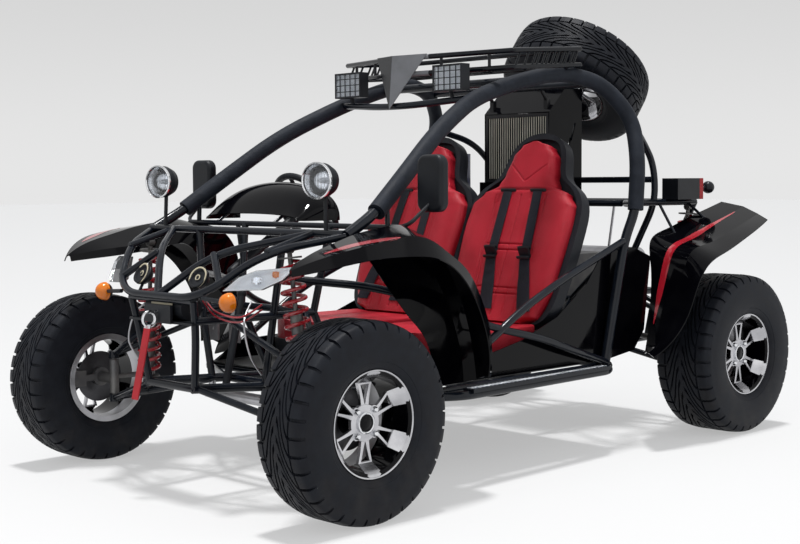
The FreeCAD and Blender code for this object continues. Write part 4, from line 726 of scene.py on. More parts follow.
HOOK = InlaidFinish(
    "hook_and_strap",
    (0.72, 0.73, 0.75),
    (0.66, 0.67, 0.69),
    0.10,
    metallic=1.0,
    middle=(0.267, 0.0, 0.450),
    half=(0.06, 0.10, 0.122),
    inlay=(0.56, 0.010, 0.022),
    inlay_rough=0.6,
)
# Painted light: the box covers the V-plate's +Y half, which is painted lighter grey as its lit side; the
# other half keeps the rack's dark paint.
RACK_WITH_PAINTED_LIGHT = InlaidFinish(
    "rack_paint",
    (0.003, 0.004, 0.007),
    (0.004, 0.006, 0.010),
    0.18,
    specular=0.24,
    middle=(-0.905, 0.070, 1.440),
    half=(0.055, 0.070, 0.110),
    inlay=(0.23, 0.235, 0.25),
    inlay_rough=0.3,
)
MACHINED = Finish(
    "machined_alloy", (0.60, 0.60, 0.62), (0.42, 0.42, 0.44), 0.20, metallic=1.0, grain_scale=300.0
)
TAIL_RED = InlaidFinish(
    "tail_red",
    (0.008, 0.009, 0.012),
    (0.012, 0.014, 0.018),
    0.3,
    specular=0.25,
    middle=(-2.237, 0.0, 1.017),
    half=(0.0145, 0.530, 0.046),
    inlay=(0.45, 0.006, 0.010),
    inlay_rough=0.15,
)
AMBER_GLOSS = Finish("amber_gloss", (0.80, 0.21, 0.006), (0.62, 0.13, 0.003), 0.10, grain_scale=60.0)
STEP_METAL = Finish("step_metal", (0.30, 0.31, 0.33), (0.22, 0.23, 0.25), 0.35, metallic=0.8)
CREAM = Finish("cream_paint", (0.62, 0.56, 0.40), (0.54, 0.48, 0.34), 0.35)
BULB = Finish("lamp_bulb", (0.92, 0.93, 0.95), (0.86, 0.88, 0.90), 0.15)
MIRRORED = Finish(
    "lamp_mirror", (0.93, 0.94, 0.96), (0.88, 0.89, 0.91), 0.16, metallic=1.0, grain_depth=0.00002
)
RED_TRIM = Finish("red_trim", (0.44, 0.010, 0.024), (0.36, 0.008, 0.018), 0.20, coat=0.8, grain_depth=0.00003)
MIRROR_GLASS = Finish(
    "mirror_glass", (0.80, 0.82, 0.84), (0.78, 0.80, 0.82), 0.02, metallic=1.0, grain_depth=0.00001
)

FINISH_NODES: dict[Finish, tuple[str, ...]] = {
    FRAME_PAINT: (
        "floor_rails",
        "floor_frame",
        "front_frame",
        "nose_frame",
        "cage_hoops",
        "cage_braces",
        "rear_frame",
        "door_bars",
        "side_steps",
        "front_arms",
        "rear_arms",
    ),
    BODY_PAINT: ("side_panels", "front_fenders", "rear_fenders", "cowl", "engine_cover"),
    SATIN_PLASTIC: (
        "fog_lamps",
        "roof_lamps",
        "headlamps",
        "indicators",
        "mirrors",
        "winch",
        "horns",
        "steering_column",
        "steering_wheel",
    ),
    RACK_WITH_PAINTED_LIGHT: ("roof_rack",),
    FOAM: ("cage_pads",),
    SHEET: ("floor_pan",),
    RED_HIDE: ("seat_covers",),
    BLACK_HIDE: ("seat_shells",),
    WEBBING: ("harnesses",),
    LENS: ("lamp_lenses",),
    TAIL_RED: ("tail_lamps",),
    HOOK: ("winch_hook",),
    STEEL: ("steering_rack", "tie_rods", "exhaust", "pedals"),
    DARK_STEEL: ("drive_line", "dampers"),
    RED_SPRING: ("springs",),
    CAST_METAL: ("engine", "knuckle_left", "knuckle_right"),
    FINS: ("radiator",),
    BLUE_CAN: ("air_canister",),
}
NODE_FINISHES: dict[str, Finish] = {node: look for look, nodes in FINISH_NODES.items() for node in nodes}


class Finishes:
    """Every material of the scene, each built on its first use."""

    built: dict[str, bpy.types.Material] = {}

    @classmethod
    def get(cls, finish: Finish) -> bpy.types.Material:
        """Return the material of a finish."""
        if finish.name not in cls.built:
            cls.built[finish.name] = finish.build()
        return cls.built[finish.name]


def dress_nodes() -> None:
    """Give each CAD node its finish."""
    for node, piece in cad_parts.items():
        finish = NODE_FINISHES.get(node)
        if finish is None:
            continue
        piece.data.materials.clear()
        piece.data.materials.append(Finishes.get(finish))
        LOG.info("finish %s on %s", finish.name, node)


# Wheels

CUT_SHARES = {"swoop": 1.0, "shoulder": 1.0, "edge": 0.9, "fade": 0.8, "ring": 0.8}
TREAD_ZONES: tuple[tuple[str, tuple[float, ...]], ...] = (
    ("rib", (0.0, 0.045)),
    ("swoop", (0.060, 0.13, 0.21, 0.29, 0.37, 0.45, 0.505)),
    ("edge", (0.520,)),
    ("ring", (0.532, 0.570)),
    ("edge", (0.583,)),
    ("shoulder", (0.590, 0.68, 0.76, 0.84)),
)
# Share of the half width, drop below the tread, and zone
SHOULDER: tuple[tuple[float, float, str], ...] = (
    (0.88, 0.0095, "shoulder"),
    (0.918, 0.0150, "shoulder"),
    (0.945, 0.0220, "fade"),
    (0.962, 0.0300, "side"),
    (0.966, 0.0320, "side"),
    (0.972, 0.0420, "side"),
    (0.990, 0.0600, "side"),
    (1.000, 0.0800, "side"),
)
# Share of the half width, and height over the rim's lip
SIDE_WALL: tuple[tuple[float, float], ...] = (
    (0.992, 0.040),
    (0.968, 0.026),
    (0.952, 0.0245),
    (0.930, 0.014),
    (0.870, 0.004),
    (0.810, 0.0004),
)


@dataclass
class Wheel:
    """A tyre with its tread, and the rim, trim and brake disc inside it."""

    suffix: str
    body: str
    outward: Vector
    pitches: int = 36
    tread_depth: float = 0.010
    tread_shrink: float = 0.0
    swoop: float = 30.0
    mirror_tread: bool = False
    bead: float = 0.1526
    bead_share: float = 0.80
    lip_radius: float = 0.1675
    flange: float = 0.1674
    flange_width: float = 0.007
    barrel: float = 0.1524
    barrel_end: float = -0.030
    spokes: int = 6
    hub_depth: float = 0.013
    lugs: int = 4
    lug_circle: float = 0.053
    centre: Vector = field(init=False)
    radius: float = field(init=False)
    half: float = field(init=False)
    side: Vector = field(init=False)
    other: Vector = field(init=False)

    def __post_init__(self) -> None:
        """Read the centre, radius and width from the CAD tyre."""
        self.centre = node_centre(self.node("tyre"))
        self.outward = self.outward.normalized()
        offsets = self.offsets("tyre")
        self.radius = max(radius for _, radius in offsets)
        self.half = max(abs(along) for along, _ in offsets)
        on_axle = abs(self.outward.y) > 0.9
        self.side = UP.copy() if on_axle else self.outward.orthogonal().normalized()
        self.other = self.outward.cross(self.side).normalized()

    def build(self) -> None:
        """Make the tyre, the rim and its trim."""
        self.make_tyre()
        self.make_rim()
        self.make_trim()

    def node(self, kind: str) -> str:
        """Return the CAD node's name of this wheel's tyre or rim."""
        return "spare_" + kind if self.suffix == "spare" else kind + "_" + self.suffix

    def offsets(self, kind: str) -> list[tuple[float, float]]:
        """Return how far out and how far off the axle each vertex of a CAD node lies."""
        pairs = []
        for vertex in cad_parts[self.node(kind)].data.vertices:
            offset = vertex.co - self.centre
            along = offset.dot(self.outward)
            pairs.append((along, (offset - self.outward * along).length))
        return pairs

    def spot(self, along: float, radius: float, angle: float) -> Vector:
        """Return a point from its place along the axle, radius and angle."""
        return self.centre + self.outward * along + around(self.side, self.other, angle) * radius

    def rows(self) -> list[tuple[float, float, str]]:
        """Return the tread's half section: share of half width, radius, zone."""
        radius = self.radius
        round_from = 0.42
        rows = []
        for zone, shares in TREAD_ZONES:
            for share in shares:
                drop = 0.006 * (max(0.0, share - round_from) / round_from) ** 2
                rows.append((share, radius - drop - self.tread_shrink, zone))
        rows += [(share, radius - drop - self.tread_shrink, zone) for share, drop, zone in SHOULDER]
        rows += [(share, self.lip_radius + height, "side") for share, height in SIDE_WALL]
        return rows

    def depth(self, zone: str, key: str, inward: bool) -> float:
        """Return how deep the tread is cut at one place.

        Args:
            zone: The row's zone.
            key: The column's place in the pitch.
            inward: Whether the row is on the rim's inner side.

        Returns:
            The depth in metres.
        """
        cut = "b1" if inward else "a1"
        if zone == "ring" or key == cut:
            return self.tread_depth * CUT_SHARES.get(zone, 0.0)
        return 0.0

    def make_tyre(self) -> None:
        """Build the tyre with its tread blocks."""
        narrow = (0.0, 0.02, 0.17, 0.19, 0.30, 0.50, 0.52, 0.67, 0.69, 0.80)
        wide = (0.0, 0.03, 0.38, 0.41, 0.46, 0.50, 0.53, 0.88, 0.91, 0.96)
        keys = ("a0", "a1", "a1", "a0", "-", "b0", "b1", "b1", "b0", "-")
        half_rows = self.rows()
        section = [(-share, radius, zone, True) for share, radius, zone in reversed(half_rows[1:])]
        section += [(share, radius, zone, False) for share, radius, zone in half_rows]
        turn = -1.0 if self.mirror_tread else 1.0
        swoop_end = 0.55
        swoop_run = 0.45
        grid = []
        for share, radius, zone, inward in section:
            row = []
            middle = min(1.0, max(0.0, (swoop_end - abs(share)) / swoop_run))
            shift = -math.radians(self.swoop) * middle**1.5
            for pitch in range(self.pitches):
                for thin, thick, key in zip(narrow, wide, keys):
                    place = thin + (thick - thin) * min(1.0, 2.5 * middle)
                    angle = turn * (math.tau * (pitch + place) / self.pitches + shift)
                    cut = self.depth(zone, key, inward)
                    row.append(self.spot(share * self.half, radius - cut, angle))
            grid.append(row)
        mould = Mould()
        mould.grid(grid, close_columns=True)
        columns = len(grid[0])
        angles = [turn * math.tau * step / columns for step in range(columns)]
        foot = self.bead_share * self.half
        inner = [[self.spot(along, self.bead, angle) for angle in angles] for along in (-foot, foot)]
        mould.grid([grid[-1], inner[1]], close_columns=True)
        mould.grid([inner[0], grid[0]], close_columns=True)
        tyre = mould.finish("tread_" + self.suffix, TYRE_RUBBER, self.body, 28.0)
        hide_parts(self.node("tyre"))

    def hub_face(self) -> float:
        """Return how far out the CAD rim's hub face lies."""
        return max(along for along, radius in self.offsets("rim") if 0.068 < radius < 0.0705)

    def lip_faces(self) -> tuple[float, float]:
        """Return how far out the front and back lips' faces lie."""
        lips = [along for along, radius in self.offsets("rim") if radius > 0.166]
        return max(lips), min(lips)

    def lug_spots(self, face: float) -> list[Vector]:
        """Return where the lug nuts stand on the hub's face."""
        angles = [math.tau * (index + 0.5) / self.lugs for index in range(self.lugs)]
        return [self.spot(face, self.lug_circle, angle) for angle in angles]

    def spoke_spot(self, angle: float, radius: float, across: float, along: float) -> Vector:
        """Return a point by its place on the spoke at one angle."""
        turn = self.other * math.cos(angle) - self.side * math.sin(angle)
        return self.spot(along, radius, angle) + turn * across

    def make_rim(self) -> None:
        """Build the bright front, the rear band, the dark barrel and the brake disc."""
        face = self.hub_face()
        lip, back = self.lip_faces()
        self.make_front(face, lip)
        self.make_band(back)
        self.make_barrel(face, lip)
        self.make_disc()

    def make_front(self, face: float, lip: float) -> None:
        """Build the hub, spokes, bosses and lip, which stand for the CAD rim."""
        bright = Mould()
        for index in range(self.spokes):
            angle = math.tau * index / self.spokes
            self.add_spoke(bright, angle, face)
            self.add_pad(bright, angle, face, lip)
        hub = [(face - self.hub_depth, 0.058), (face - 0.001, 0.058)]
        hub += [(face + 0.0006, 0.0565), (face + 0.0006, 0.0)]
        bright.lathe(hub, self.centre, self.outward, 64)
        boss = [(-self.hub_depth, 0.0145), (0.0, 0.0145), (0.001, 0.0135), (0.001, 0.0)]
        for spot in self.lug_spots(face):
            bright.lathe(boss, spot, self.outward, 20)
        ring = [(lip - self.flange_width, self.flange), (lip, self.flange)]
        ring += [(lip, 0.1632), (lip - 0.002, 0.1618)]
        bright.lathe(ring, self.centre, self.outward, 96)
        spokes = bright.finish("spokes_" + self.suffix, MACHINED, self.body, 40.0)
        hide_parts(self.node("rim"))

    def make_band(self, back: float) -> None:
        """Build the steel band round the rear of the rim."""
        rear = Mould()
        band = [
            (self.barrel_end, 0.1468),
            (back, 0.1465),
            (back, self.flange),
            (back + self.flange_width, self.flange),
            (back + self.flange_width, self.barrel),
            (self.barrel_end, self.barrel),
        ]
        rear.lathe(band, self.centre, self.outward, 96)
        rear.finish("rim_rear_" + self.suffix, STEEL, self.body)

    def make_barrel(self, face: float, lip: float) -> None:
        """Build the dark wall behind the spokes and the dark hub."""
        bend = lip - self.flange_width
        wall = [
            (self.barrel_end, self.barrel),
            (bend, self.barrel),
            (bend, self.flange),
            (lip - 0.002, self.flange),
            (lip - 0.0015, 0.1622),
            (lip - 0.0064, 0.1535),
            (lip - 0.0085, 0.1514),
            (lip - 0.026, 0.1502),
            (self.barrel_end, 0.1468),
        ]
        dark = Mould()
        dark.lathe(wall, self.centre, self.outward, 96)
        hub_back = face - self.hub_depth
        dark.lathe([(-0.0249, 0.046), (hub_back, 0.046), (hub_back, 0.0)], self.centre, self.outward)
        dark.finish("rim_barrel_" + self.suffix, BODY_PAINT, self.body)

    def make_disc(self) -> None:
        """Build the brake disc at the inner end of the hub."""
        rear, front = -0.030, -0.025
        rim = 0.094
        bevel = [(rear + 0.001, rim + 0.002), (front - 0.001, rim + 0.002)]
        plate = [(rear, 0.0201), (rear, rim), *bevel, (front, rim), (front, 0.046)]
        disc = Mould()
        disc.lathe(plate, self.centre, self.outward, 64)
        # The disc's finish carries painted shade.
        disc.finish("brake_disc_" + self.suffix, DISC_STEEL_PAINTED_SHADE, self.body)

    def add_spoke(self, mould: Mould, angle: float, face: float) -> None:
        """Add the flat part of a spoke: two arms with a slit between them."""
        outer = ((0.046, 0.0150), (0.075, 0.0175), (0.100, 0.0225), (0.1260, 0.0290))
        slit = ((0.059, 0.0015), (0.076, 0.0060), (0.098, 0.0120), (0.1200, 0.0180))
        thick = self.hub_depth
        edge = 0.0012
        rows = []
        for line, depth, inset in (
            (outer, thick, 0.0),
            (outer, edge, 0.0),
            (outer, 0.0, -edge),
            (slit, 0.0, edge),
            (slit, edge, 0.0),
            (slit, thick, 0.0),
        ):
            level = face - depth
            row = [self.spoke_spot(angle, radius, -half - inset, level) for radius, half in line]
            row += [self.spoke_spot(angle, radius, half + inset, level) for radius, half in reversed(line)]
            rows.append(row)
        mould.grid(rows, close_rows=True, close_columns=True)

    def add_pad(self, mould: Mould, angle: float, face: float, lip: float) -> None:
        """Add the bright sheet that curves from a spoke up to the lip."""
        thick = 0.005
        bend = lip - self.flange_width
        rows = []
        for radius, top, half in (
            (0.1240, face, 0.0285),
            (0.1300, face + (bend - face) * 0.20, 0.0295),
            (0.1400, face + (bend - face) * 0.58, 0.0310),
            (0.1505, bend, 0.0325),
            (0.1560, lip - 0.0035, 0.0330),
            (0.1628, lip - 0.0006, 0.0335),
        ):
            places = [(-half, thick), (-half, 0.0), (-0.5 * half, 0.0)]
            places += [(0.5 * half, 0.0), (half, 0.0), (half, thick)]
            rows.append([self.spoke_spot(angle, radius, across, top - depth) for across, depth in places])
        mould.solid(rows)

    def make_trim(self) -> None:
        """Build the chrome lug nuts, the ring round the cap, and the cap."""
        face = self.hub_face()
        middle = self.spot(face, 0.0, 0.0)
        nuts = Mould()
        nut = [(-0.002, 0.0105), (0.004, 0.0105), (0.010, 0.0090), (0.014, 0.006), (0.015, 0.0)]
        for spot in self.lug_spots(face):
            nuts.lathe(nut, spot, self.outward, 12)
        ring = [(0.0, 0.034), (0.007, 0.034), (0.009, 0.031), (0.007, 0.0275), (0.0015, 0.0265)]
        nuts.lathe(ring, middle, self.outward, 40)
        nuts.finish("rim_trim_" + self.suffix, CHROME, self.body)
        cap = Mould()
        cap.lathe([(0.001, 0.0265), (0.005, 0.022), (0.007, 0.012), (0.008, 0.0)], middle, self.outward, 40)
        cap.finish("rim_cap_" + self.suffix, BODY_PAINT, self.body)


# Seats

# Places of the seams across and up the back, and how deep and wide they are
BOLSTER_SEAMS = (-0.128, -0.112, 0.112, 0.128)
PANEL_HALF = 0.112
CROSS_SEAMS = (0.110, 0.135, 0.290, 0.315)
PANEL_RIBS = (-0.055, 0.0, 0.055)
SEAMS_FROM = 0.02
SEAMS_TO = 0.525
SEAM_DEPTH = 0.0055
SEAM_WIDTH = 0.0028
RIB_DEPTH = 0.0045
FOLD_DEPTH = 0.0040
RIB_WIDTH = 0.003
CUSHION_SEAM_WIDTH = 0.005
NECK = 0.545
NECK_GROOVE = 0.006
EDGE_DROP = 0.030
BOLSTER_HEIGHT = 0.020
# Place across a belt from edge to edge and back underneath, and height over the hide
BELT_SECTION = ((-1.0, 0.0), (-0.9, 0.0022), (0.0, 0.0026), (0.9, 0.0022), (1.0, 0.0), (0.0, -0.001))


def groove(offset: float, width: float) -> float:
    """Return a seam's share of its depth: 1 on its line, fading to 0 beside it."""
    return math.exp(-((offset / width) ** 2))


def hide_lean(step: int, steps: int) -> float:
    """Return a column's place from -1 at one edge of the hide to 1 at the other."""
    return -1.0 + 2.0 * step / steps


@dataclass
class Seat:
    """A soft bucket seat: back and cushion in hide, with belts over it.

    The outline is pairs of distance up the back and half width there.
    """

    side: Side
    offset: float = 0.285
    foot_x: float = -1.180
    foot_z: float = 0.494
    tilt: float = 22.3
    pad: float = 0.062
    top: float = 0.752
    across_steps: int = 110
    up_steps: int = 210
    rear_stride: int = 11
    rear_stand: float = 0.004
    belt_stand: float = 0.002
    outline: tuple[tuple[float, float], ...] = (
        (0.000, 0.150),
        (0.030, 0.215),
        (0.160, 0.255),
        (0.400, 0.268),
        (0.480, 0.262),
        (0.535, 0.215),
        (0.565, 0.148),
        (0.610, 0.126),
        (0.690, 0.108),
        (0.735, 0.075),
        (0.752, 0.020),
    )

    def build(self) -> bpy.types.Object:
        """Make the seat's soft pieces.

        Returns:
            The back's cover, which also stands for the CAD covers.
        """
        back = self.make_back()
        self.make_cushion()
        self.make_belts()
        return back

    def point(self, up: float, across: float, forward: float) -> Vector:
        """Return a point by its place on the seat back's plane."""
        tilt = math.radians(self.tilt)
        x = self.foot_x - up * math.sin(tilt) + forward * math.cos(tilt)
        z = self.foot_z + up * math.cos(tilt) + forward * math.sin(tilt)
        return self.side.at(x, self.offset + across, z)

    def half_width(self, up: float) -> float:
        """Return the back's half width at a height up its slope."""
        for (low, low_half), (high, high_half) in zip(self.outline, self.outline[1:]):
            if up <= high:
                share = (up - low) / (high - low)
                share = share * share * (3.0 - 2.0 * share)
                return low_half + (high_half - low_half) * share
        return self.outline[-1][1]

    def crown(self, up: float, across: float) -> float:
        """Return how far the hide stands forward of the pad's plane.

        Args:
            up: Distance up the back.
            across: Signed distance from the seat's middle.

        Returns:
            The height in metres.
        """
        share = min(1.0, abs(across) / self.half_width(up))
        edge = math.sqrt(max(0.0, 1.0 - share**6))
        body = 1.0 if up < 0.55 else 0.0
        swell = max(0.0, share - 0.45) * 2.0
        bolster = BOLSTER_HEIGHT * body * swell * math.sin(math.pi * min(1.0, up / 0.57))
        height = -EDGE_DROP + EDGE_DROP * edge + bolster * edge
        below_neck = SEAMS_FROM < up < SEAMS_TO
        if below_neck:
            for seam in BOLSTER_SEAMS:
                height -= SEAM_DEPTH * groove(across - seam, SEAM_WIDTH)
        if abs(across) < PANEL_HALF:
            for line in CROSS_SEAMS:
                height -= SEAM_DEPTH * groove(up - line, SEAM_WIDTH)
            if below_neck:
                for rib in PANEL_RIBS:
                    height -= RIB_DEPTH * groove(across - rib, RIB_WIDTH)
        for way in (-1.0, 1.0):
            if 0.0 < way * across < 0.09:
                fold = up - (0.580 + way * 0.80 * across)
                height -= FOLD_DEPTH * groove(fold, RIB_WIDTH)
        height -= NECK_GROOVE * groove(up - NECK, NECK_GROOVE)
        return height

    def make_back(self) -> bpy.types.Object:
        """Build the back's cover as one closed soft form."""
        mould = Mould()
        rows = []
        for i in range(self.up_steps + 1):
            up = self.top * i / self.up_steps
            half = self.half_width(up)
            front = []
            rear = []
            for j in range(self.across_steps + 1):
                across = half * math.sin(hide_lean(j, self.across_steps) * math.pi / 2.0)
                front.append(self.point(up, across, self.pad + self.crown(up, across)))
                if j % self.rear_stride == 0:
                    rear.append(self.point(up, across, self.rear_stand))
            rows.append(front + rear[::-1])
        mould.solid(rows)
        name = "seat_back_" + self.side.label
        cover = mould.finish(name, RED_HIDE, sharp=60.0)
        return cover

    def make_cushion(self) -> None:
        """Build the cushion, crowned across its width and rounded off at its front."""
        rear = self.foot_x + 0.034
        front = -0.643
        bottom = 0.418
        rim_z = 0.478
        widest = 0.240
        side_rise = 0.012
        seam_across = 0.105
        mould = Mould()
        steps = 44
        rows = []
        for i in range(steps + 1):
            share = i / steps
            x = rear + (front - rear) * share
            taper = 1.0 - 0.10 * (1.0 - share) ** 3
            nose = math.sqrt(max(0.02, 1.0 - max(0.0, share - 0.72) ** 2 / 0.0900))
            half = widest * taper * nose
            row = []
            for j in range(self.across_steps + 1):
                lean = hide_lean(j, self.across_steps)
                across = half * math.sin(lean * math.pi / 2.0)
                edge = math.sqrt(max(0.0, 1.0 - abs(lean) ** 8))
                z = rim_z + EDGE_DROP * edge + side_rise * abs(lean) ** 3 * edge
                for seam in (-seam_across, seam_across):
                    z -= RIB_DEPTH * groove(across - seam, CUSHION_SEAM_WIDTH)
                if abs(across) < seam_across:
                    for line in (0.25, 0.31, 0.62, 0.68):
                        z -= 0.0035 * groove((share - line) * 0.45, CUSHION_SEAM_WIDTH)
                row.append(self.side.at(x, self.offset + across, z))
            rows.append(row + [Vector((p.x, p.y, bottom)) for p in reversed(row)])
        mould.solid(rows)
        cushion = mould.finish("seat_cushion_" + self.side.label, RED_HIDE, sharp=60.0)

    def strap(self, mould: Mould, path: Profile, widths: Sequence[float]) -> None:
        """Add one flat belt that lies along the back.

        Args:
            mould: Where its faces go.
            path: Pairs of distance up and distance across.
            widths: The belt's width at each pair.
        """
        steps = 8
        rows = []
        for index, (start, end) in enumerate(zip(path, path[1:])):
            last = index == len(path) - 2
            for step in range(steps + (1 if last else 0)):
                t = step / steps
                up = start[0] + (end[0] - start[0]) * t
                across = start[1] + (end[1] - start[1]) * t
                half = (widths[index] + (widths[index + 1] - widths[index]) * t) / 2.0
                row = []
                for lean, lift in BELT_SECTION:
                    place = across + lean * half
                    hide = max(self.crown(up, place), self.crown(up, across))
                    row.append(self.point(up, place, self.pad + hide + self.belt_stand + lift))
                rows.append(row)
        mould.solid(rows)

    def make_belts(self) -> None:
        """Build both shoulder belts and their adjusters."""
        belts = Mould()
        buckles = Mould()
        bevel = 0.003
        slot_up = 0.540
        turn = Matrix.Rotation(-math.radians(90.0 - self.tilt), 3, "Y")
        for top, middle, low in ((-0.072, -0.072, -0.030), (0.082, 0.102, 0.165)):
            shoulder = [(0.535, top), (0.40, (top + middle) / 2.0), (0.275, middle)]
            waist = [(0.268, middle), (0.16, (middle + low) / 2.0), (0.045, low)]
            self.strap(belts, shoulder, [0.046, 0.046, 0.046])
            self.strap(belts, waist, [0.050, 0.062, 0.066])
            for up, half_up, half_across, stand_off in (
                (0.276, 0.028, 0.029, 0.007),
                (0.298, 0.006, 0.031, 0.012),
                (0.256, 0.006, 0.031, 0.012),
            ):
                centre = self.point(up, middle, self.pad + self.crown(up, middle) + stand_off)
                buckles.block(centre, Vector((half_up, half_across, 0.004)), turn, bevel)
            slot = self.point(slot_up, top, self.pad + self.crown(slot_up, top) + 0.003)
            buckles.block(slot, Vector((0.008, 0.040, 0.004)), turn, bevel)
        webbing = belts.finish("belts_" + self.side.label, WEBBING)
        buckles.finish("belt_adjusters_" + self.side.label, SATIN_PLASTIC)


# Lamps

SQUARE = ((-1, -1), (1, -1), (1, 1), (-1, 1))


@dataclass
class RoundLamp:
    """The reflector and bulb of a fog lamp, behind its glass."""

    side: Side
    x: float = -0.107
    y: float = 0.450
    z: float = 1.060
    radius: float = 0.060
    turn: float = 12.0

    def build(self) -> None:
        """Make the reflector, the bulb and the bright rim."""
        angle = math.radians(self.turn)
        axis = Vector((math.cos(angle), math.sin(angle), 0.0))
        face = self.side.at(self.x, self.y, self.z)
        outer = self.radius + 0.001
        rim = [(-0.004, outer), (0.003, outer), (0.005, self.radius - 0.003), (0.002, self.radius - 0.005)]
        bowl = [(-0.047, 0.006), (-0.044, 0.020), (-0.034, 0.034), (-0.020, 0.046), (-0.0106, 0.0545)]
        bright = Mould()
        bright.lathe(rim, face, axis)
        bright.lathe(bowl, face, axis)
        bulb = Mould()
        bulb.lathe([(-0.046, 0.008), (-0.030, 0.009), (-0.020, 0.007), (-0.016, 0.0)], face, axis, 24)
        bulb.finish("fog_bulb_" + self.side.label, BULB)
        bright.finish("fog_reflector_" + self.side.label, MIRRORED)


@dataclass
class RoofLamp:
    """The reflector and bulb of a square roof lamp, behind its glass."""

    side: Side
    x: float = -0.905
    y: float = 0.276
    z: float = 1.442
    width: float = 0.150
    height: float = 0.100
    wall: float = 0.0065

    def build(self) -> None:
        """Make the reflector and the bulb behind the glass."""
        centre = self.side.at(self.x, self.y, self.z)
        half_y = self.width / 2.0 - self.wall
        half_z = self.height / 2.0 - self.wall
        rows = []
        for depth, share in ((-0.033, 0.02), (-0.032, 0.4), (-0.026, 0.75), (-0.011, 0.985)):
            ring = [(depth, y * (share * half_y), z * (share * half_z)) for y, z in SQUARE]
            rows.append([centre + Vector(corner) for corner in ring])
        bright = Mould()
        bright.grid(rows, close_columns=True)
        bright.finish("roof_reflector_" + self.side.label, BULB)
        bulb = Mould()
        bulb.lathe([(-0.033, 0.016), (-0.024, 0.015), (-0.018, 0.009), (-0.016, 0.0)], centre, AHEAD, 24)
        bulb.finish("roof_bulb_" + self.side.label, BULB)


@dataclass
class Headlamp:
    """The bowl, the border, the bulb and the amber piece of a pointed headlamp."""

    side: Side
    outline: tuple[Triple, ...] = (
        (0.183, 0.320, 0.708),
        (0.146, 0.356, 0.752),
        (0.108, 0.402, 0.774),
        (0.020, 0.500, 0.787),
        (0.056, 0.468, 0.744),
        (0.100, 0.412, 0.712),
    )
    flat: list[Vector] = field(init=False)
    middle: Vector = field(init=False)
    outward: Vector = field(init=False)

    def __post_init__(self) -> None:
        """Lay the outline flat, and find its middle and the way it faces."""
        corners = [self.side.at(x, y, z) for x, y, z in self.outline]
        outward = (corners[2] - corners[0]).cross(corners[4] - corners[0]).normalized()
        self.outward = -outward if outward.x < 0.0 else outward
        self.flat = [corner - self.outward * (corner - corners[0]).dot(self.outward) for corner in corners]
        self.middle = sum(self.flat, Vector()) / len(self.flat)

    def ring(self, share: float, lift: float) -> list[Vector]:
        """Return the outline, drawn in to a share of its size and lifted off its plane."""
        return [self.middle + (corner - self.middle) * share + self.outward * lift for corner in self.flat]

    def build(self) -> None:
        """Make the pieces inside the lamp's housing."""
        bowl = Mould()
        floor = ((0.03, -0.0190), (0.35, -0.0180), (0.62, -0.0120), (0.80, -0.0010), (0.93, -0.0005))
        bowl.grid([self.ring(share, lift) for share, lift in floor], close_columns=True)
        bowl.finish("headlamp_bowl_" + self.side.label, BULB)
        border = Mould()
        edge = ((0.985, -0.001), (0.975, 0.0012), (0.885, 0.0012), (0.870, -0.001))
        border.grid([self.ring(share, lift) for share, lift in edge], close_columns=True)
        border.finish("headlamp_border_" + self.side.label, BULB)
        long_way = (self.flat[3] - self.flat[0]).normalized()
        bulb = Mould()
        spot = self.middle - long_way * 0.012
        bulb.lathe([(-0.026, 0.019), (-0.010, 0.018), (-0.004, 0.011), (-0.002, 0.0)], spot, self.outward, 28)
        bulb.finish("headlamp_bulb_" + self.side.label, MIRRORED)
        amber = Mould()
        place = self.middle + long_way * 0.052 - self.outward * 0.012
        amber.lathe([(-0.010, 0.013), (0.002, 0.012), (0.008, 0.006), (0.009, 0.0)], place, self.outward, 24)
        amber.finish("headlamp_amber_" + self.side.label, AMBER_GLOSS)


@dataclass
class Coil:
    """A close-wound red spring round its damper, on both sides.

    The seats are how far the coil stays off the top and foot points.
    """

    name: str
    top: Triple
    foot: Triple
    turns: int
    radius: float = 0.0375
    wire: float = 0.0068
    top_seat: float = 0.0322
    foot_seat: float = 0.0402

    def build(self) -> list[bpy.types.Object]:
        """Return the left and right coils."""
        coils = []
        steps = 20
        for side in Side:
            top = side.at(*self.top)
            foot = side.at(*self.foot)
            axis = (foot - top).normalized()
            across = axis.orthogonal().normalized()
            other = axis.cross(across)
            start = self.top_seat + self.wire
            length = (foot - top).length - start - self.foot_seat - self.wire
            path = []
            for step in range(self.turns * steps + 1):
                angle = math.tau * step / steps
                down = start + length * step / (self.turns * steps)
                path.append(top + axis * down + around(across, other, angle) * self.radius)
            mould = Mould()
            mould.bar(path, self.wire, 8)
            coil = mould.finish(self.name + "_" + side.label, RED_SPRING)
            coils.append(coil)
        return coils


@dataclass
class IndicatorLens:
    """The amber ball of a front indicator."""

    side: Side

    def build(self) -> None:
        """Make the lens over the CAD ball's front."""
        centre = self.side.at(0.191, 0.361, 0.674)
        radius = 0.0316
        steps = 9
        profile = []
        for step in range(steps + 1):
            angle = math.radians(100.0) * (1.0 - step / steps)
            profile.append((radius * math.cos(angle), max(0.0, radius * math.sin(angle))))
        lens = Mould()
        lens.lathe(profile, centre, AHEAD, 36)
        lens.lathe([(-0.006, 0.0325), (0.000, 0.0325), (0.001, 0.0318)], centre, AHEAD, 36)
        lens.finish("indicator_lens_" + self.side.label, AMBER_GLOSS)


# Small trim


def hit(node: str, start: Vector, direction: Vector) -> tuple[Vector, Vector] | None:
    """Return where a ray meets a CAD node, and the normal there.

    Args:
        node: The CAD node's name.
        start: Where the ray starts.
        direction: Where it goes.

    Returns:
        The point and the normal towards the start, or None on a miss.
    """
    found, point, normal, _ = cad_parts[node].ray_cast(start, direction)
    if not found:
        return None
    if normal.dot(direction) > 0.0:
        normal = -normal
    return point, normal


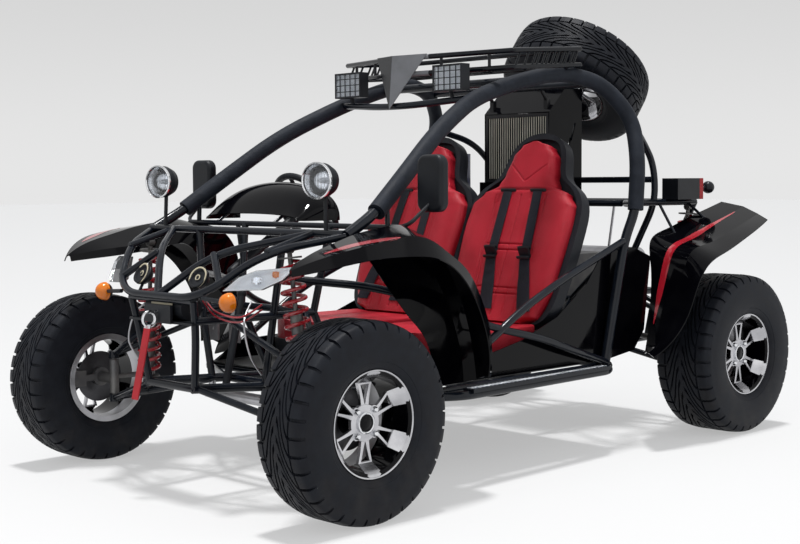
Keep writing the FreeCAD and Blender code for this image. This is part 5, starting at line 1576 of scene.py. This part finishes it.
@dataclass
class Stripe:
    """A painted stripe that lies on a fender."""

    name: str
    node: str
    path: tuple[Triple, ...]
    cast: Triple
    across: Triple
    width: float
    cast_from: float = 0.2
    stand: float = 0.0007
    leans: tuple[float, ...] = (-1.0, -0.5, 0.0, 0.5, 1.0)

    def build(self) -> None:
        """Make the stripe on both sides of the vehicle."""
        for side in Side:
            flip = Vector((1.0, side.value, 1.0))
            direction = (Vector(self.cast) * flip).normalized()
            across = (Vector(self.across) * flip).normalized()
            rows = []
            line = smooth_line([side.at(x, y, z) for x, y, z in self.path], 10)
            for index, point in enumerate(line):
                share = index / (len(line) - 1)
                half = self.width / 2.0 * min(1.0, 0.15 + 4.0 * min(share, 1.0 - share))
                row = []
                for lean in self.leans:
                    start = point + across * half * lean - direction * self.cast_from
                    found = hit(self.node, start, direction)
                    if found is not None:
                        row.append(found[0] + found[1] * self.stand)
                if len(row) == len(self.leans):
                    rows.append(row)
            mould = Mould()
            mould.grid(rows)
            stripe = mould.finish(self.name + "_" + side.label, RED_TRIM)


class SmallTrim:
    """Horn rings, step ribs, mirror glass, wires and the winch's plate."""

    def build(self) -> None:
        """Make all of the small trim."""
        for side in Side:
            self.make_horn(side)
            self.make_step(side)
            self.make_mirror(side)
        self.make_plate()
        self.make_wires()

    def make_horn(self, side: Side) -> None:
        """Build the pale rings on a horn's face."""
        axis = Vector((0.90, side.value * 0.12, 0.42)).normalized()
        face = side.at(0.163, 0.162, 0.744)
        rings = Mould()
        rings.lathe([(0.0016, 0.0385), (0.0035, 0.0378), (0.0035, 0.0335), (0.0016, 0.0325)], face, axis, 40)
        rings.lathe([(0.0012, 0.0110), (0.0028, 0.0105), (0.0030, 0.0075), (0.0012, 0.0065)], face, axis, 24)
        rings.finish("horn_rings_" + side.label, CREAM)

    def make_step(self, side: Side) -> None:
        """Build the slanted ribs on a side step."""
        ribs = Mould()
        count = 35
        half = Vector((0.0034, 0.018, 0.0013))
        turn = Matrix.Rotation(side.value * math.radians(35.0), 3, "Z")
        for index in range(count):
            along = index / (count - 1)
            spot = side.at(-0.620 - 0.760 * along, 0.663 - 0.021 * along, 0.3448)
            ribs.block(spot, half, turn, 0.0008)
        ribs.finish("step_ribs_" + side.label, STEP_METAL)

    def make_mirror(self, side: Side) -> None:
        """Build a mirror's glass on its rear face."""
        glass = Mould()
        centre = side.at(-0.4788, 0.637, 1.048)
        glass.block(centre, Vector((0.0012, 0.044, 0.078)), Matrix.Identity(3), 0.0009)
        glass.finish("mirror_glass_" + side.label, MIRROR_GLASS)

    def make_plate(self) -> None:
        """Build the winch's blank light plate."""
        plate = Mould()
        plate.block(at(0.1955, 0.0, 0.640), Vector((0.0015, 0.060, 0.022)), Matrix.Identity(3), 0.001)
        plate.finish("winch_plate", CREAM)

    def make_wires(self) -> None:
        """Build the wires and brake hoses at the nose."""
        steps = 8
        sides = 8
        red = Mould()
        for lift in (0.0, 0.016):
            path = [(0.10, 0.10, 0.66), (0.12, 0.20, 0.615), (0.09, 0.29, 0.60), (0.03, 0.33, 0.64)]
            red.bar(smooth_line([at(x, y, z + lift) for x, y, z in path], steps), 0.0032, sides)
        red.finish("red_wires", RED_TRIM)
        pale = Mould()
        for side in Side:
            path = [(0.02, 0.26, 0.66), (0.09, 0.31, 0.60), (0.10, 0.35, 0.50), (0.06, 0.36, 0.43)]
            pale.bar(smooth_line([side.at(x, y, z) for x, y, z in path], steps), 0.0035, sides)
        pale.finish("brake_hoses", STEEL)


STRIPES = (
    Stripe(
        "front_stripe",
        "front_fenders",
        (
            (0.075, 0.690, 0.89),
            (0.000, 0.722, 0.89),
            (-0.060, 0.748, 0.90),
            (-0.110, 0.768, 0.905),
            (-0.160, 0.785, 0.905),
        ),
        (0.0, 0.0, -1.0),
        (0.45, 0.89, 0.0),
        0.040,
    ),
    Stripe(
        "rear_stripe",
        "rear_fenders",
        (
            (-2.366, 0.606, 0.915),
            (-2.200, 0.605, 0.867),
            (-2.070, 0.603, 0.824),
            (-1.952, 0.604, 0.795),
            (-1.905, 0.602, 0.775),
            (-1.875, 0.600, 0.735),
            (-1.848, 0.599, 0.668),
            (-1.824, 0.597, 0.599),
            (-1.803, 0.595, 0.527),
            (-1.782, 0.596, 0.471),
        ),
        (-0.75, 0.0, -0.66),
        (0.0, 1.0, 0.0),
        0.032,
    ),
)


# Studio


@dataclass
class Studio:
    """The pale floor, the soft lights and the camera."""

    camera_place: Triple = (2.845, 3.850, 1.055)
    camera_yaw: float = 225.6
    camera_pitch: float = -3.76
    camera_roll: float = -0.36
    lens: float = 61.9
    horizon: Colour = (0.791, 0.791, 0.791)
    zenith: Colour = (0.660, 0.660, 0.660)
    zenith_rise: float = 0.17
    far_glow: Colour = (0.03, 0.03, 0.03)
    near_glow: Colour = (0.45, 0.45, 0.45)
    near_slope: float = 0.26
    floor_grey: Colour = (0.385, 0.385, 0.385)
    floor_size: float = 60.0
    ambient: Colour = (0.75, 0.77, 0.80)
    ambient_strength: float = 0.55

    def build(self) -> None:
        """Set up the whole studio."""
        self.make_camera()
        self.make_floor()
        self.make_lights()
        self.make_world()

    def make_camera(self) -> None:
        """Place the camera where the photograph was taken from."""
        yaw = math.radians(self.camera_yaw)
        pitch = math.radians(self.camera_pitch)
        roll = math.radians(self.camera_roll)
        ahead = Vector((math.cos(pitch) * math.cos(yaw), math.cos(pitch) * math.sin(yaw), math.sin(pitch)))
        level = ahead.cross(UP).normalized()
        top = level.cross(ahead)
        right = level * math.cos(roll) + top * math.sin(roll)
        up = top * math.cos(roll) - level * math.sin(roll)
        data = bpy.data.cameras.new("camera")
        data.lens = self.lens
        data.sensor_width = 36.0
        camera = bpy.data.objects.new("camera", data)
        turn = Matrix((right, up, -ahead)).transposed()
        camera.matrix_world = Matrix.Translation(at(*self.camera_place)) @ turn.to_4x4()
        bpy.context.scene.collection.objects.link(camera)
        bpy.context.scene.camera = camera

    def make_floor(self) -> None:
        """Lay a pale floor that fades to the backdrop's grey far away."""
        points = [Vector((x * self.floor_size, y * self.floor_size, 0.0)) for x, y in SQUARE]
        floor = add_mesh("studio_floor", points, [(0, 1, 2, 3)])
        shader = Shader("studio_floor")
        away = shader.node("ShaderNodeVectorMath", operation="DISTANCE")
        shader.tree.links.new(shader.place, away.inputs[0])
        away.inputs[1].default_value = tuple(at(self.camera_place[0], self.camera_place[1], 0.0))
        slope = shader.math("DIVIDE", self.camera_place[2], away.outputs["Value"])
        grey = (*self.floor_grey, 1.0)
        shader.feed(shader.surface, Base_Color=grey, Roughness=1.0, Specular_IOR_Level=0.0)
        glow = shader.node("ShaderNodeEmission")
        near = shader.ramp(slope, -self.near_slope, self.near_slope)
        tone = shader.mix(near, self.far_glow, self.near_glow)
        shader.feed(glow, Color=tone, Strength=shader.camera_mask())
        both = shader.node("ShaderNodeAddShader")
        shader.tree.links.new(shader.surface.outputs[0], both.inputs[0])
        shader.tree.links.new(glow.outputs[0], both.inputs[1])
        output = shader.tree.nodes["Material Output"]
        shader.tree.links.new(both.outputs[0], output.inputs["Surface"])
        floor.data.materials.append(shader.material)
        floor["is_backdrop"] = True

    def make_lights(self) -> None:
        """Set broad distant lamps over and beside the vehicle."""
        for name, direction, spread, share in (
            ("key", (0.02, 0.02, -1.0), 7.0, 0.92),
            ("front", (-0.9, -0.5, -0.40), 70.0, 0.16),
            ("side", (0.3, -0.95, -0.40), 70.0, 0.12),
        ):
            data = bpy.data.lights.new(name, "SUN")
            data.energy = share * math.pi
            data.angle = math.radians(spread)
            lamp = bpy.data.objects.new(name, data)
            lamp.rotation_euler = Vector(direction).to_track_quat("-Z", "Y").to_euler()
            bpy.context.scene.collection.objects.link(lamp)

    def make_world(self) -> None:
        """Light the object evenly, and show a grey gradient to the camera."""
        world = bpy.data.worlds.new("studio")
        bpy.context.scene.world = world
        world.use_nodes = True
        wires = Wiring(world.node_tree)
        world.node_tree.nodes.clear()
        place = wires.node("ShaderNodeTexCoord")
        split = wires.feed(wires.node("ShaderNodeSeparateXYZ"), Vector=place.outputs["Generated"])
        rise = wires.ramp(split.outputs["Z"], 0.0, self.zenith_rise)
        shown = wires.mix(rise, self.horizon, self.zenith)
        backdrop = wires.feed(wires.node("ShaderNodeBackground"), Color=shown, Strength=1.0)
        ambient = wires.node("ShaderNodeBackground")
        wires.feed(ambient, Color=(*self.ambient, 1.0), Strength=self.ambient_strength)
        blend = wires.node("ShaderNodeMixShader")
        wires.tree.links.new(wires.camera_mask(), blend.inputs[0])
        wires.tree.links.new(ambient.outputs[0], blend.inputs[1])
        wires.tree.links.new(backdrop.outputs[0], blend.inputs[2])
        output = wires.node("ShaderNodeOutputWorld")
        wires.tree.links.new(blend.outputs[0], output.inputs["Surface"])


def corners(box: tuple[Vector, Vector]) -> list[list[float]]:
    """Return a box as plain lists."""
    return [list(box[0]), list(box[1])]


def main() -> None:
    """Build the studio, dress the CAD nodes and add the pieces."""
    logging.basicConfig(level=logging.INFO, format="%(name)s %(message)s")
    cad_box = corners(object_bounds())
    bpy.context.scene.view_settings.view_transform = "Standard"
    Studio().build()
    dress_nodes()
    for end in ("front", "rear"):
        for side in Side:
            suffix = end + "_" + side.label
            Wheel(suffix, "wheel_" + suffix, side.value * LEFT, mirror_tread=side is Side.RIGHT).build()
    spare_lean = math.radians(128.9)
    spare_outward = Vector((-math.cos(spare_lean), 0.0, -math.sin(spare_lean)))
    Wheel("spare", CHASSIS, spare_outward, tread_shrink=0.0018).build()
    backs = [Seat(side).build() for side in Side]
    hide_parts("seat_covers", "harnesses")
    for side in Side:
        RoundLamp(side).build()
        RoofLamp(side).build()
        Headlamp(side).build()
        IndicatorLens(side).build()
    coils = Coil("front_coil", (-0.032, 0.396, 0.838), (-0.052, 0.452, 0.303), 12).build()
    coils += Coil("rear_coil", (-2.245, 0.446, 0.938), (-2.245, 0.420, 0.306), 14).build()
    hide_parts("springs")
    for stripe in STRIPES:
        stripe.build()
    SmallTrim().build()
    {"cad": cad_box, "visual": corners(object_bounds())}


if __name__ == "__main__":
    main()
